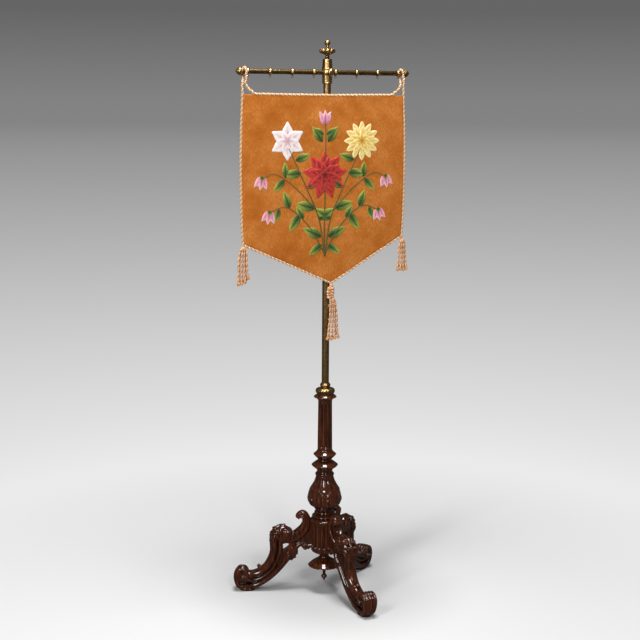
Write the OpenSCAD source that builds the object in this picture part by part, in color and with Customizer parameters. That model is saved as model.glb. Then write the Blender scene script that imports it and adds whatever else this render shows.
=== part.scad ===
// Pole screen: a carved tripod stand holds a sliding brass pole, and a velvet banner hangs from its bar.
// Origin on the floor under the pole, +Z up, cross bar along X, banner facing -Y.

/* [Legs] */
// Bearing of the first leg, anticlockwise from +X
leg_bearing = 155; // [120:1:180]
// Radius at which the middle of a scroll foot stands
leg_reach = 217; // [205:1:235]
// Radius of a scroll foot
scroll_r = 27; // [25:0.5:29]
// Radius of the knee's middle
knee_r = 116; // [110:1:122]
// Height of the knee's middle
knee_z = 150; // [144:1:156]
// Swell of the knee
knee_swell = 31; // [27:0.5:33]
// Thickness of a leg across its carved strands
leg_t = 31; // [27:0.5:34]
// Thickness of the sunk panel between the strands
web_t = 19; // [15:0.5:23]
// Length of a toe block under a scroll foot
toe_l = 42; // [36:1:44]
// Width of a toe block
toe_w = 30; // [26:1:32]
// Height of a toe block
toe_h = 8; // [6:0.5:10]

/* [Hub] */
// Height of the drum's lower edge above the floor
drum_z = 118; // [114:1:122]
// Radius of the drum that the legs join
drum_r = 36; // [34:0.5:38]
// Height of the drum
drum_h = 74; // [70:1:80]
// Height of the rounded cup under the drum
cup_h = 12; // [8:1:14]
// Height of the moulded crown over the drum
crown_h = 36; // [30:1:42]
// Projection of the crown's rim past the drum
rim_out = 4; // [2:0.5:6]
// Flutes between one leg and the next
drum_flutes = 4; // [2:1:4]
// Radius of a drum flute's cutter
flute_r = 5; // [3.5:0.25:5.5]
// Width of the dovetail at its neck
tail_neck = 12; // [9:0.5:14]
// Width of the dovetail at its back
tail_back = 17; // [15:0.5:19]
// Depth of the dovetail into the drum
tail_depth = 14; // [11:0.5:15]
// Play round a dovetail
tail_gap = 0.1; // [0.05:0.05:0.3]

/* [Pendant] */
// Radius of the pendant disc
disc_r = 43.5; // [38:0.5:48]
// Height of the pendant disc from its neck to its underside
disc_h = 40; // [34:1:44]
// Radius of the pendant's neck
disc_neck_r = 17; // [14:0.5:20]
// Length of the turned drop
drop_h = 39; // [34:1:44]
// Radius of the drop's ball
drop_r = 8; // [6:0.5:10]

/* [Baluster and column] */
// Height of the baluster
bulb_h = 91; // [86:1:98]
// Largest radius of the baluster
bulb_r = 46; // [42:0.5:49]
// Radius of the baluster's foot ring
bulb_foot_r = 29.5; // [27:0.5:32]
// Radius of the baluster's neck
bulb_neck_r = 23; // [21.5:0.5:25]
// Radius of the turned necks between the column's rings
neck_r = 21; // [19.5:0.5:23]
// Height of the small bead at the column's foot
bead_h = 10; // [8:1:13]
// Height of the neck over the small bead
throat_h = 6; // [4:1:9]
// Radius of the lower ring
low_ring_r = 35; // [31:0.5:39]
// Height of the lower ring
low_ring_h = 27; // [22:1:32]
// Radius of the upper ring
high_ring_r = 30.5; // [27:0.5:34]
// Height of the upper ring
high_ring_h = 28; // [22:1:32]
// Radius of the fluted shaft at its foot
shaft_foot_r = 19.5; // [18.5:0.25:21]
// Radius of the fluted shaft at its top
shaft_top_r = 18.2; // [17.5:0.25:19.5]
// Height of the fluted shaft
shaft_h = 130; // [110:1:150]
// Flutes round the shaft
shaft_flutes = 10; // [8:1:12]
// Radius of the capital
capital_r = 30; // [27:0.5:33]
// Height of the capital
capital_h = 19; // [15:1:23]

/* [Lock] */
// Radius of the ferrule's flange on the capital
flange_r = 22; // [20:0.5:24]
// Thickness of the flange
flange_h = 2; // [1.5:0.25:3]
// Radius of the ferrule's threaded spigot
spigot_r = 14; // [13.5:0.25:14.5]
// Height of the threaded spigot
spigot_h = 9; // [7:0.5:10]
// Radius of the lock nut over its lobes
nut_r = 25.7; // [24:0.1:27]
// Lobes round the lock nut
nut_lobes = 10; // [8:1:12]
// Height of the lock nut's lobed part
nut_h = 15; // [14:0.5:17]
// Height of the ring on top of the lock nut
nut_ring_h = 13; // [10:0.5:15]

/* [Pole] */
// Outside diameter of the pole
pole_d = 19; // [18.5:0.1:19.5]
// Wall of the pole
pole_wall = 1.5; // [1:0.1:2.5]
// Height of the pole's top above the floor
pole_top = 1362; // [1320:1:1380]
// Length of the pole
pole_len = 1007; // [980:1:1020]
// Length of the brass socket tube in the stand
socket_len = 290; // [270:1:296]
// Wall of the socket tube
socket_wall = 1.5; // [1:0.1:2]
// Depth of the pivot plug in the pole's top
plug_h = 25; // [15:1:40]

/* [Head] */
// Radius of the head's sleeve
head_r = 13; // [12.4:0.1:13.6]
// Length of the sleeve over the pole
sleeve_h = 20; // [16:0.5:24]
// Height of the bar's middle over the pole's top
bar_lift = 8; // [7.5:0.25:10]
// Radius of the ring at the bar
head_ring_r = 14.5; // [14:0.25:15.5]
// Height of the tapered cap
cap_h = 26; // [24:0.5:30]
// Length of the tee's spigot in the cap
cap_spigot_h = 12; // [9:0.5:14]
// Radius of the cap at its top
cap_top_r = 11.7; // [11:0.1:12.5]
// Radius of the finial over its lobes
finial_r = 20.5; // [18:0.25:22]
// Lobes round the finial
finial_lobes = 8; // [6:1:10]
// Height of the finial above the cap
finial_h = 47; // [45:0.5:52]
// Radius of the finial's ball
finial_ball_r = 7.5; // [6:0.25:8]
// Radius of the thumb screw's head
thumb_r = 8.5; // [7:0.25:9.5]
// Distance of the thumb screw's head from the pole's axis
thumb_out = 21; // [19:0.5:24]

/* [Cross bar] */
// Diameter of the rod
bar_d = 12; // [11:0.1:12.4]
// Shift of the bar's middle from the pole along X
bar_shift = -7; // [-8:0.5:0]
// Knops on the rod
knop_count = 8; // [8:2:10]
// Radius of a knop
knop_r = 8.5; // [8:0.1:9.5]
// Length of a knop
knop_l = 8; // [6:0.25:9]
// Length of bare rod for the banner loop
loop_seat = 9; // [8.5:0.25:12]
// Radius of an acorn end
acorn_r = 10.5; // [9:0.25:12]
// Length of an acorn end
acorn_l = 20; // [17:0.5:23]
// Inner radius of a wire eye under a knop
eye_r = 1.8; // [1.6:0.1:2.6]
// Wire of an eye
eye_wire = 1; // [1:0.1:1.5]

/* [Banner] */
// Width of the banner between the middles of its side cords
banner_w = 448; // [430:1:452]
// Shift of the banner's middle from the bar's along X
banner_shift = -5; // [-5:0.5:5]
// Drop from the bar's middle to the banner's top cord
banner_drop = 51; // [48:1:60]
// Length of the banner's left side
left_side = 377; // [350:1:390]
// Length of the banner's right side
right_side = 369; // [350:1:390]
// Length of the banner from its top to its point
banner_len = 485; // [470:1:500]
// Shift of the point to the right of the middle
point_shift = 20; // [-20:1:25]
// Sag of the top edge
top_sag = 3; // [2:0.5:9]
// Outward bow of the sides
side_bow = 5; // [2:0.5:8]
// Diameter of the twisted cord
cord_d = 5.6; // [5:0.1:6]
// Thickness of the velvet
velvet_t = 1.2; // [0.8:0.1:1.6]
// Thickness of the interlining
inter_t = 0.9; // [0.6:0.1:1.2]
// Thickness of the back lining
lining_t = 0.7; // [0.5:0.1:1]

/* [Tassels] */
// Length of the left tassel
left_tassel = 104; // [90:1:120]
// Length of the middle tassel
middle_tassel = 146; // [110:1:147]
// Length of the right tassel
right_tassel = 90; // [80:1:120]
// Width of a tassel at its top
tassel_top = 22; // [18:0.5:24]
// Width of a tassel at its ends
tassel_end = 33; // [28:0.5:36]
// Depth of a tassel from front to back, as it hangs flat
tassel_depth = 12; // [10:0.5:14]
// Strands round a tassel
tassel_strands = 9; // [7:1:11]
// Length of the bare neck over a tassel
tassel_neck = 12; // [11:0.5:14]
// Height of the wrapped knot on the middle tassel
knot_h = 32; // [26:1:38]

/* [Fits] */
// Play of a sliding or turning fit, on the radius
run_gap = 0.05; // [0.02:0.01:0.1]
// Play of a glued or driven fit, on the radius
seat_gap = 0.02; // [0.01:0.01:0.05]
// Room round a soft piece
soft_gap = 0.3; // [0.3:0.1:0.6]

/* [Hidden] */
$fn = 64;
pole_r = pole_d / 2;
bar_r = bar_d / 2;
cord_r = cord_d / 2;
tail_top = drum_z + drum_h - 8;
hub_foot = drum_z - cup_h;
hub_top = drum_z + drum_h + crown_h;
hub_tenon_r = 13;
hub_tenon_h = 30;
disc_tenon_r = 9;
disc_tenon_h = 24;
drop_pin_r = 3;
drop_pin_h = 14;
column_z = hub_top + bulb_h;
column_tenon_r = 16;
column_tenon_h = 20;
shaft_z = column_z + bead_h + throat_h + low_ring_h + high_ring_h;
column_top = shaft_z + shaft_h + capital_h;
socket_r = pole_r + run_gap + socket_wall;
socket_foot = column_top - socket_len;
nut_z = column_top + flange_h + run_gap;
collet_h = 4;
collet_z = column_top + flange_h + spigot_h;
bar_z = pole_top + bar_lift;
head_foot = pole_top - sleeve_h;
cap_z = bar_z + bar_r + 1.5;
cap_spigot_r = 8.5;
finial_z = cap_z + cap_h;
finial_screw_r = 3.4;
finial_screw_h = 9;
thumb_shank_r = 3;
thumb_h = 8;
// The bar is nearly as long as the banner is wide, so that the corner loops hang nearly straight
loop_in = 6.1;
loop_x = banner_w / 2 - loop_in;
bar_end = loop_x - loop_seat / 2;
knop_neck = bar_r + 0.8;
knop_pitch = (bar_end - knop_l / 2) * 2 / (knop_count - 1);
acorn_x = bar_end + loop_seat;
acorn_bore = 7;
sheet_t = velvet_t + inter_t + lining_t;
// The banner hangs clear in front of the pole, and its corner loops run round the rod
banner_y = -(pole_r + 1 + cord_r);
loop_r = bar_r + cord_r + soft_gap;
banner_top = bar_z - banner_drop;
left_z = banner_top - left_side;
right_z = banner_top - right_side;
point_z = banner_top - banner_len;
banner_mid = bar_shift + banner_shift;
point_x = banner_mid + point_shift;
foot_lift = 8;
toe_in = 11;
foot_z = toe_h + scroll_r + foot_lift;
knee_round = 1.22;
vein_r = 4;
// Size of the carving, which follows the knee
carve = knee_swell / 31;
knee = [knee_r, knee_z];
foot = [leg_reach, foot_z];
root = [drum_r, drum_z];

wood = "#4a2413";
brass = "#a0803f";
bright_brass = "#c9a04e";
cord_colour = "#d9a77c";

// Curves and sweeps

// A turned bead or ring of swell b on radius r, between two heights
function bead(r, b, z0, z1, p = 1, n = 10) =
    [for (i = [0:n]) [r + b * pow(sin(180 * i / n), p), z0 + (z1 - z0) * i / n]];

// A point on the smooth curve through a list of vectors
function smooth_at(p, i, t) =
    let (a = p[max(i - 1, 0)], b = p[i], c = p[i + 1], d = p[min(i + 2, len(p) - 1)])
    b + 0.5 * t * ((c - a) + t * ((2 * a - 5 * b + 4 * c - d) + t * (3 * b - 3 * c + d - a)));

// The smooth curve, with n steps to each stretch
function smooth(p, n) =
    concat([for (i = [0:len(p) - 2], k = [0:n - 1]) smooth_at(p, i, k / n)], [p[len(p) - 1]]);

function unit(v) = v / norm(v);

// Triangles between rings of n points, with a fan on each end
function tube_faces(rings, n, closed = false) = concat(
    [for (i = [0:rings - (closed ? 1 : 2)], j = [0:n - 1], k = [0, 1])
        let (a = i * n + j, b = i * n + (j + 1) % n, up = ((i + 1) % rings - i) * n)
        k == 0 ? [a, b, b + up] : [a, b + up, a + up]],
    closed ? [] : [for (j = [1:n - 2]) [0, j + 1, j]],
    closed ? [] : [for (j = [1:n - 2]) let (a = (rings - 1) * n) [a, a + j, a + j + 1]]);

// A tube of radius r along a route in space, with the ring's first axis kept near `side`
function tube_points(route, r, n, side, closed = false) =
    let (last = len(route) - 1)
    [for (i = [0:last])
        let (before = closed ? route[(i + last) % (last + 1)] : route[max(i - 1, 0)],
             after = closed ? route[(i + 1) % (last + 1)] : route[min(i + 1, last)],
             along = unit(after - before),
             across = unit(side - (side * along) * along),
             up = cross(along, across))
        for (j = [0:n - 1])
            route[i] + r * (cos(360 * j / n) * across + sin(360 * j / n) * up)];

module tube(route, r, n, side, closed = false) {
    polyhedron(tube_points(route, r, n, side, closed), tube_faces(len(route), n, closed), convexity = 8);
}

// A carved strand in the leg's plane. Each control point is [radius, height, width, thickness].
module strand(control, section, steps) {
    path = smooth(control, steps);
    last = len(path) - 1;
    points = [for (i = [0:last])
        let (along = path[min(i + 1, last)] - path[max(i - 1, 0)],
             dir = unit([along[0], along[1]]),
             out = [-dir[1], dir[0]] * path[i][2] / 2)
        for (s = section)
            [path[i][0] + out[0] * s[0], path[i][3] / 2 * s[1], path[i][1] + out[1] * s[0]]];
    polyhedron(points, tube_faces(last + 1, len(section)), convexity = 8);
}

// Cross-sections, as [outward, sideways] in halves of the strand's width and thickness
moulded = [[-1, -.45], [-.62, -.92], [-.2, -.72], [.25, -1], [.72, -.86], [1, -.48], [.82, 0],
           [1, .48], [.72, .86], [.25, 1], [-.2, .72], [-.62, .92], [-1, .45]];
rounded = [for (j = [0:7]) let (a = 45 * j + 22.5) [-cos(a), -sin(a)] * 1.06];
reeded = [[-1, -.85], [.2, -1], [.6, -.88], [.8, -.62], [.6, -.33], [1, 0],
          [.6, .33], [.8, .62], [.6, .88], [.2, 1], [-1, .85]];

// Legs

// A control point off an anchor: its width, and its thickness as a share of the leg's
function at(p, offset, width, share) =
    [p[0] + offset[0] * carve, p[1] + offset[1] * carve, width * carve, leg_t * share];

// The main strand runs from the knee down into the scroll foot
main_strand = [
    at(knee, [-22, -2], 18, .71), at(knee, [-2, 8], 30, .97), at(knee, [12, -6], 34, 1.1),
    at(knee, [13, -32], 33, 1.03), at(knee, [19, -58], 31, .97), at(foot, [-66, 21], 30, .97),
    at(foot, [-41, 2], 29, 1), at(foot, [-16, -4], 30, 1.03), at(foot, [0, -2], 26, .97)];
// The lower strand starts at the hub, arches, and follows the inner edge to the toe
lower_strand = [
    at(root, [-3, 8], 12, .77), at(root, [12, 8], 12, .77), at(root, [24, 13], 13, .84),
    at(root, [36, 7], 14, .9), at(root, [46, -7], 16, .97), at(knee, [-21, -55], 17, .97),
    at(knee, [-2, -79], 17, .97), at(foot, [-80, 3], 17, .97), at(foot, [-54, -17], 17, 1),
    at(foot, [-29, -29], 16, 1), at(foot, [5, -30.5], 14, 1.03)];
// The upper strand is a C-scroll that leaves the knee and curls over beside the hub's crown
upper_strand = [
    at(knee, [-10, -4], 14, .84), at(knee, [-30, -2], 16, 1), at(root, [30, 40], 17, 1.1),
    at(root, [16, 55], 18, 1.13), at(root, [12, 74], 17, 1.1), at(root, [16, 90], 16, 1.03),
    at(root, [25, 97], 15, .97), at(root, [34, 92], 12, .87)];
// The scroll winds out from its eye over the foot to the toe
function scroll_at(turn, r, width) =
    [foot[0] + r * cos(turn), foot[1] + r * sin(turn), width * carve, leg_t * .84];
scroll = [
    scroll_at(250, scroll_r * .3, 9), scroll_at(190, scroll_r * .44, 10), scroll_at(135, scroll_r * .62, 12),
    scroll_at(85, scroll_r * .76, 14), scroll_at(35, scroll_r * .78, 14), scroll_at(-10, scroll_r * .8, 13),
    scroll_at(-50, scroll_r * .9, 13), scroll_at(-88, scroll_r * 1.06, 12)];

function flat_xz(control, from, to) = [for (i = [from:to]) [control[i][0], control[i][1]]];

// Outline of the sunk panel, along the middles of the strands
panel = concat([root + [-4, 6] * carve], flat_xz(lower_strand, 1, 9),
    [for (i = [7:-1:1]) [main_strand[i][0], main_strand[i][1]]],
    flat_xz(upper_strand, 1, 4), [[drum_r - 4 * carve, tail_top + 6 * carve]]);

// Corners of the pierced eye between the strands
eye = [[-6, -20], [-22, -19], [-18, -28], [-6, -37]] * carve;

// A bud or leaf end in the leg's plane, off an anchor
module blob(p, offset, r) {
    translate([p[0] + offset[0] * carve, 0, p[1] + offset[1] * carve])
        rotate([90, 0, 0]) sphere(r * carve, $fn = 8);
}

// A round of the leg's plane, off an anchor, with its thickness as a share of the leg's
module cheek(p, offset, r, share, sides) {
    translate([p[0] + offset[0] * carve, 0, p[1] + offset[1] * carve])
        rotate([90, 0, 0]) cylinder(r = r, h = leg_t * share, center = true, $fn = sides);
}

// A leaf vein on both cheeks of the knee, from near its middle out to its edge
module vein(turn) {
    out = leg_t / 2 * knee_round - vein_r * .4;
    near = knee_swell * .26;
    far = knee_swell * .86;
    for (side = [-1, 1])
        translate([knee_r, 0, knee_z])
            hull() {
                translate([near * cos(turn), side * out, near * sin(turn)]) sphere(vein_r, $fn = 8);
                translate([far * cos(turn), side * out * .56, far * sin(turn)]) sphere(vein_r * .7, $fn = 6);
            }
}

module dovetail(gap) {
    neck = tail_neck / 2 + gap;
    back = tail_back / 2 + gap;
    depth = tail_depth + gap;
    lip = drum_r + tail_neck / 2;
    polygon([[lip, neck], [drum_r, neck], [drum_r - depth, back],
             [drum_r - depth, -back], [drum_r, -neck], [lip, -neck]]);
}

module leg_body() {
    curl_r = 7.5;
    leaf_r = 8 * carve;
    strand(main_strand, moulded, 3);
    strand(lower_strand, rounded, 2);
    strand(upper_strand, rounded, 2);
    strand(scroll, reeded, 3);
    // ball and eye of the scroll
    translate([foot[0], 0, foot[1]])
        scale([1, leg_t * .56 / scroll_r, 1]) rotate([90, 0, 0]) sphere(scroll_r * .97, $fn = 20);
    cheek(foot, [0, 0], scroll_r * .24, 1.22, 14);
    // knee
    translate([knee_r, 0, knee_z])
        scale([1, leg_t / 2 / knee_swell * knee_round, 1]) sphere(knee_swell, $fn = 16);
    hull() {
        blob(knee, [-7, 34], 2.6);
        blob(knee, [-2, 23], 7);
    }
    // leaves on the knee
    for (turn = [20, 62, 104]) vein(turn);
    // leaves under the bracket
    for (leaf = [[52, -25], [41, -14]])
        hull() {
            cheek(root, leaf, leaf_r, .65, 10);
            cheek(root, leaf + [8, 8], leaf_r, .84, 10);
        }
    hull() {
        blob(root, [13, 2], 6);
        blob(root, [15, 8], 7);
    }
    // bud on top of the foot
    hull() {
        blob(foot, [-42, 26], 5.2);
        blob(foot, [-43, 22], 4.4);
    }
    hull() {
        blob(foot, [-43, 22], 3.4);
        blob(foot, [-44, 11], 5);
    }
    // sunk panel
    rotate([90, 0, 0]) linear_extrude(web_t, center = true) polygon(panel);
    // curl of the C-scroll
    translate([root[0] + 33 * carve, 0, root[1] + 91 * carve])
        scale([1, leg_t * .39 / curl_r, 1] * carve) sphere(curl_r, $fn = 12);
}

module leg(turn) {
    color(wood) rotate([0, 0, turn]) {
        difference() {
            leg_body();
            cylinder(r = drum_r + tail_gap, h = 2 * hub_top, center = true, $fn = 96);
            translate([0, 0, drum_z + drum_h]) cylinder(r = drum_r + rim_out + 1, h = hub_top, $fn = 64);
            translate([knee_r, 0, knee_z]) rotate([90, 0, 0])
                linear_extrude(leg_t * 2, center = true) offset(2 * carve) offset(-2 * carve) polygon(eye);
            // the floor under the foot
            translate([leg_reach, 0, toe_h - leg_reach / 2]) cube(leg_reach, center = true);
        }
        translate([0, 0, drum_z + 1]) linear_extrude(tail_top - drum_z - 2) dovetail(0);
    }
}

module leg_left() { leg(leg_bearing); }

module leg_front() { leg(leg_bearing + 120); }

module leg_rear() { leg(leg_bearing + 240); }

module toe_blocks() {
    color(wood)
        for (k = [0:2])
            rotate([0, 0, leg_bearing + 120 * k]) translate([leg_reach - toe_in, 0, 0])
                intersection() {
                    translate([0, 0, toe_h / 2]) cube([toe_l, toe_w, toe_h], center = true);
                    cylinder(r = toe_l * .56, h = toe_h);
                }
}

// Hub and pendant

hub_profile = concat(
    [[0, 0], [disc_neck_r, 0]],
    [for (a = [0:15:90]) [disc_neck_r + (drum_r - disc_neck_r) * sin(a), cup_h * (1 - cos(a))]],
    [[drum_r, cup_h + drum_h]],
    bead(drum_r, rim_out, cup_h + drum_h, cup_h + drum_h + crown_h * .26),
    bead(drum_r - 5, 2.5, cup_h + drum_h + crown_h * .36, cup_h + drum_h + crown_h * .56),
    bead(drum_r - 11, 2, cup_h + drum_h + crown_h * .68, cup_h + drum_h + crown_h * .84),
    [[drum_r - 14, cup_h + drum_h + crown_h * .88], [drum_r - 14, cup_h + drum_h + crown_h],
     [0, cup_h + drum_h + crown_h]]);

module drum_flute(turn) {
    low = drum_z + flute_r + 6;
    high = drum_z + drum_h - 2;
    rotate([0, 0, turn]) translate([drum_r + flute_r * .35, 0, low]) {
        sphere(flute_r);
        cylinder(r = flute_r, h = high - low);
    }
}

module hub() {
    bay = 76;
    color(wood)
        difference() {
            translate([0, 0, hub_foot]) rotate_extrude() polygon(hub_profile);
            for (k = [0:2]) rotate([0, 0, leg_bearing + 120 * k]) {
                translate([0, 0, hub_foot - 1])
                    linear_extrude(tail_top + tail_gap - hub_foot) dovetail(tail_gap);
                for (i = [0:drum_flutes - 1])
                    drum_flute(60 + bay * ((i + .5) / drum_flutes - .5));
            }
            translate([0, 0, hub_top - hub_tenon_h - 1])
                cylinder(r = hub_tenon_r + seat_gap, h = hub_tenon_h + 2);
            translate([0, 0, hub_foot - 1]) cylinder(r = disc_tenon_r + seat_gap, h = disc_tenon_h + 2);
        }
}

disc_waist = disc_neck_r * .8;
disc_profile = concat(
    [[0, 0], [disc_r * .42, 0]],
    [for (a = [0:15:90]) [disc_r * .42 + disc_r * .52 * sin(a), disc_h * .3 * (1 - cos(a))]],
    bead(disc_r - 3, 3, disc_h * .3, disc_h * .48),
    [for (a = [0:15:90]) [disc_waist + (disc_r - 5 - disc_waist) * cos(a), disc_h * (.48 + .34 * sin(a))]],
    [[disc_waist, disc_h * .9], [disc_neck_r, disc_h], [0, disc_h]]);

module pendant_disc() {
    disc_foot = hub_foot - disc_h;
    color(wood)
        difference() {
            union() {
                translate([0, 0, disc_foot]) rotate_extrude() polygon(disc_profile);
                translate([0, 0, hub_foot - 1]) cylinder(r = disc_tenon_r, h = disc_tenon_h + 1);
            }
            translate([0, 0, disc_foot - 1]) cylinder(r = drop_pin_r + seat_gap, h = drop_pin_h + 2);
        }
}

module pendant_drop() {
    top = hub_foot - disc_h;
    ball = drop_h - 13;
    color(wood)
        translate([0, 0, top]) mirror([0, 0, 1]) rotate_extrude()
            polygon(concat([[0, -drop_pin_h], [drop_pin_r, -drop_pin_h], [drop_pin_r, 0], [drop_r * .95, 0]],
                bead(drop_r * .6, 1.6, 1, 6), [[drop_r * .5, 8], [drop_r * .5, ball - drop_r * .8]],
                bead(drop_r * .45, drop_r * .55, ball - drop_r * .8, ball + drop_r * .8),
                [[drop_r * .3, ball + drop_r], [drop_r * .2, drop_h - 1], [0, drop_h]]));
}

// Baluster and column

// Turned outline of the baluster, through [radius, height] points
bulb_profile = smooth([
    [bulb_foot_r + 2, bulb_h * .06], [bulb_r * .83, bulb_h * .15], [bulb_r * .97, bulb_h * .26],
    [bulb_r, bulb_h * .37], [bulb_r * .955, bulb_h * .5], [bulb_r * .85, bulb_h * .62],
    [bulb_neck_r * 1.33, bulb_h * .74], [bulb_neck_r * 1.1, bulb_h * .87], [bulb_neck_r, bulb_h]], 4);

module baluster() {
    color(wood)
        difference() {
            union() {
                translate([0, 0, hub_top]) rotate_extrude()
                    polygon(concat([[0, 0]], bead(bulb_foot_r - 2, 2, 0, bulb_h * .06), bulb_profile,
                        [[0, bulb_h]]));
                translate([0, 0, hub_top - hub_tenon_h]) cylinder(r = hub_tenon_r, h = hub_tenon_h + 1);
            }
            translate([0, 0, column_z - column_tenon_h - 1])
                cylinder(r = column_tenon_r + seat_gap, h = column_tenon_h + 2);
            translate([0, 0, socket_foot - seat_gap]) cylinder(r = socket_r + seat_gap, h = socket_len);
        }
}

low_ring_z = bead_h + throat_h;
high_ring_z = low_ring_z + low_ring_h;
shaft_foot = high_ring_z + high_ring_h;
capital_z = shaft_foot + shaft_h;
column_profile = concat(
    [[0, 0]], bead(bulb_neck_r - .5, 2.6, 0, bead_h), [[neck_r + 1, bead_h], [neck_r + 1, low_ring_z]],
    bead(neck_r, low_ring_r - neck_r, low_ring_z, high_ring_z, 1.3, 14),
    bead(neck_r - 1, high_ring_r - neck_r + 1, high_ring_z, shaft_foot, 1.8, 14),
    [[shaft_foot_r, shaft_foot + 1], [shaft_top_r, capital_z]],
    [for (a = [20:20:80])
        [capital_r - (capital_r - shaft_top_r) * cos(a), capital_z + capital_h * .6 * sin(a)]],
    [[capital_r, capital_z + capital_h * .66], [capital_r - 1.5, capital_z + capital_h * .86],
     [capital_r - 5, capital_z + capital_h], [0, capital_z + capital_h]]);

module shaft_flute(turn) {
    lean = atan((shaft_foot_r - shaft_top_r) / shaft_h);
    cut = 3;
    margin = 6;
    rotate([0, 0, turn]) translate([shaft_foot_r + cut * .35, 0, shaft_z + margin + cut])
        rotate([0, -lean, 0]) {
            sphere(cut);
            cylinder(r = cut, h = shaft_h - 2 * margin - cut);
            translate([0, 0, shaft_h - 2 * margin - cut]) sphere(cut);
        }
}

module column() {
    color(wood)
        difference() {
            union() {
                translate([0, 0, column_z]) rotate_extrude() polygon(column_profile);
                translate([0, 0, column_z - column_tenon_h])
                    cylinder(r = column_tenon_r, h = column_tenon_h + 1);
            }
            for (i = [0:shaft_flutes - 1]) shaft_flute(360 * i / shaft_flutes);
            translate([0, 0, column_z - column_tenon_h - 1])
                cylinder(r = socket_r + seat_gap, h = column_top - column_z + column_tenon_h + 2);
        }
}

module socket_tube() {
    color(brass) translate([0, 0, socket_foot])
        difference() {
            cylinder(r = socket_r, h = socket_len);
            translate([0, 0, socket_wall]) cylinder(r = pole_r + run_gap, h = socket_len);
        }
}

// Lock

module ferrule() {
    color(brass) translate([0, 0, column_top])
        difference() {
            union() {
                cylinder(r = flange_r, h = flange_h);
                cylinder(r = spigot_r, h = flange_h + spigot_h);
            }
            translate([0, 0, -1]) cylinder(r = pole_r + run_gap, h = flange_h + spigot_h + 2);
        }
}

module collet() {
    color(brass)
        difference() {
            translate([0, 0, collet_z]) cylinder(r1 = spigot_r - .5, r2 = pole_r + 1.2, h = collet_h);
            translate([0, 0, collet_z - 1]) cylinder(r = pole_r + run_gap, h = collet_h + 2);
            translate([pole_r, 0, collet_z]) cube([2 * pole_r, 1, 4 * collet_h], center = true);
        }
}

module lock_nut() {
    lobe_r = nut_h * .5;
    neck = pole_r + 2;
    color(brass)
        difference() {
            union() {
                translate([0, 0, nut_z]) rotate_extrude()
                    polygon(concat([[0, 0], [nut_r - lobe_r * .9, 0], [nut_r - lobe_r * .35, nut_h * .25],
                        [nut_r - lobe_r * .35, nut_h * .7], [neck + 3, nut_h]], [[neck, nut_h + 1]],
                        bead(neck, 1.6, nut_h + 1, nut_h + nut_ring_h), [[0, nut_h + nut_ring_h]]));
                for (i = [0:nut_lobes - 1])
                    rotate([0, 0, 360 * i / nut_lobes]) translate([nut_r - lobe_r, 0, nut_z + lobe_r])
                        sphere(lobe_r - .1);
            }
            translate([0, 0, nut_z - 1]) cylinder(r = pole_r + run_gap * 2, h = nut_h + nut_ring_h + 2);
            translate([0, 0, nut_z - 1]) cylinder(r = spigot_r + run_gap * 2, h = spigot_h + 1);
            translate([0, 0, collet_z - run_gap])
                cylinder(r1 = spigot_r + run_gap * 2, r2 = pole_r + 1.2 + run_gap * 2,
                    h = collet_h + run_gap * 2);
        }
}

// Pole and head

module pole_tube() {
    color(brass) translate([0, 0, pole_top - pole_len])
        difference() {
            cylinder(r = pole_r, h = pole_len);
            translate([0, 0, -1]) cylinder(r = pole_r - pole_wall, h = pole_len + 2);
        }
}

module pivot_plug() {
    color(brass) translate([0, 0, pole_top - plug_h]) cylinder(r = pole_r - pole_wall - seat_gap, h = plug_h);
}

module along_bar(x) {
    translate([bar_shift + x, 0, bar_z]) rotate([0, 90, 0]) children();
}

module head_tee() {
    ring_low = bar_z - bar_r - 2;
    color(bright_brass)
        difference() {
            union() {
                rotate_extrude()
                    polygon(concat([[0, head_foot]], bead(head_r - .6, 1.2, head_foot, head_foot + 3),
                        [[head_r - .6, head_foot + 3.5], [head_r, ring_low]],
                        bead(head_r, head_ring_r - head_r, ring_low, cap_z), [[0, cap_z]]));
                translate([0, 0, cap_z - 1]) cylinder(r = cap_spigot_r, h = cap_spigot_h + 1);
            }
            translate([0, 0, head_foot - 1]) cylinder(r = pole_r + run_gap, h = sleeve_h + 1);
            translate([-50, 0, bar_z]) rotate([0, 90, 0]) cylinder(r = bar_r + run_gap, h = 100);
            translate([0, 0, bar_z]) rotate([90, 0, 0]) cylinder(r = thumb_shank_r + run_gap, h = 50);
        }
}

module head_cap() {
    color(brass) translate([0, 0, cap_z])
        difference() {
            rotate_extrude()
                polygon([[0, 0], [head_r + .8, 0], [head_r + .8, 2], [head_r, 3], [cap_top_r, cap_h - 2],
                    [cap_top_r - 1.5, cap_h], [0, cap_h]]);
            translate([0, 0, -1]) cylinder(r = cap_spigot_r + seat_gap, h = cap_spigot_h + 1.5);
            translate([0, 0, cap_h - finial_screw_h - .5])
                cylinder(r = finial_screw_r + seat_gap, h = finial_screw_h + 2);
        }
}

module finial() {
    stem = 10;
    lobe_r = 6;
    urn = stem + 9.5;
    neck = urn + 9;
    ball = finial_h - finial_ball_r;
    color(brass) translate([0, 0, finial_z]) {
        rotate_extrude()
            polygon(concat([[0, -finial_screw_h], [finial_screw_r, -finial_screw_h],
                [finial_screw_r, 0], [7, 0]],
                bead(4, 1.8, 1.5, stem - 2), [[4.2, stem - 1], [11, stem + 2], [finial_r - 4, urn - 3.5],
                [finial_r - 3, urn], [finial_r - 4, urn + 3.5], [10, urn + 7.5], [4, neck],
                [3.4, ball - finial_ball_r + 1.5]],
                [for (a = [-60:15:90]) [finial_ball_r * cos(a), ball + finial_ball_r * sin(a)]]));
        for (i = [0:finial_lobes - 1])
            rotate([0, 0, 360 * (i + .5) / finial_lobes])
                translate([finial_r - lobe_r, 0, urn]) sphere(lobe_r);
    }
}

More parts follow.
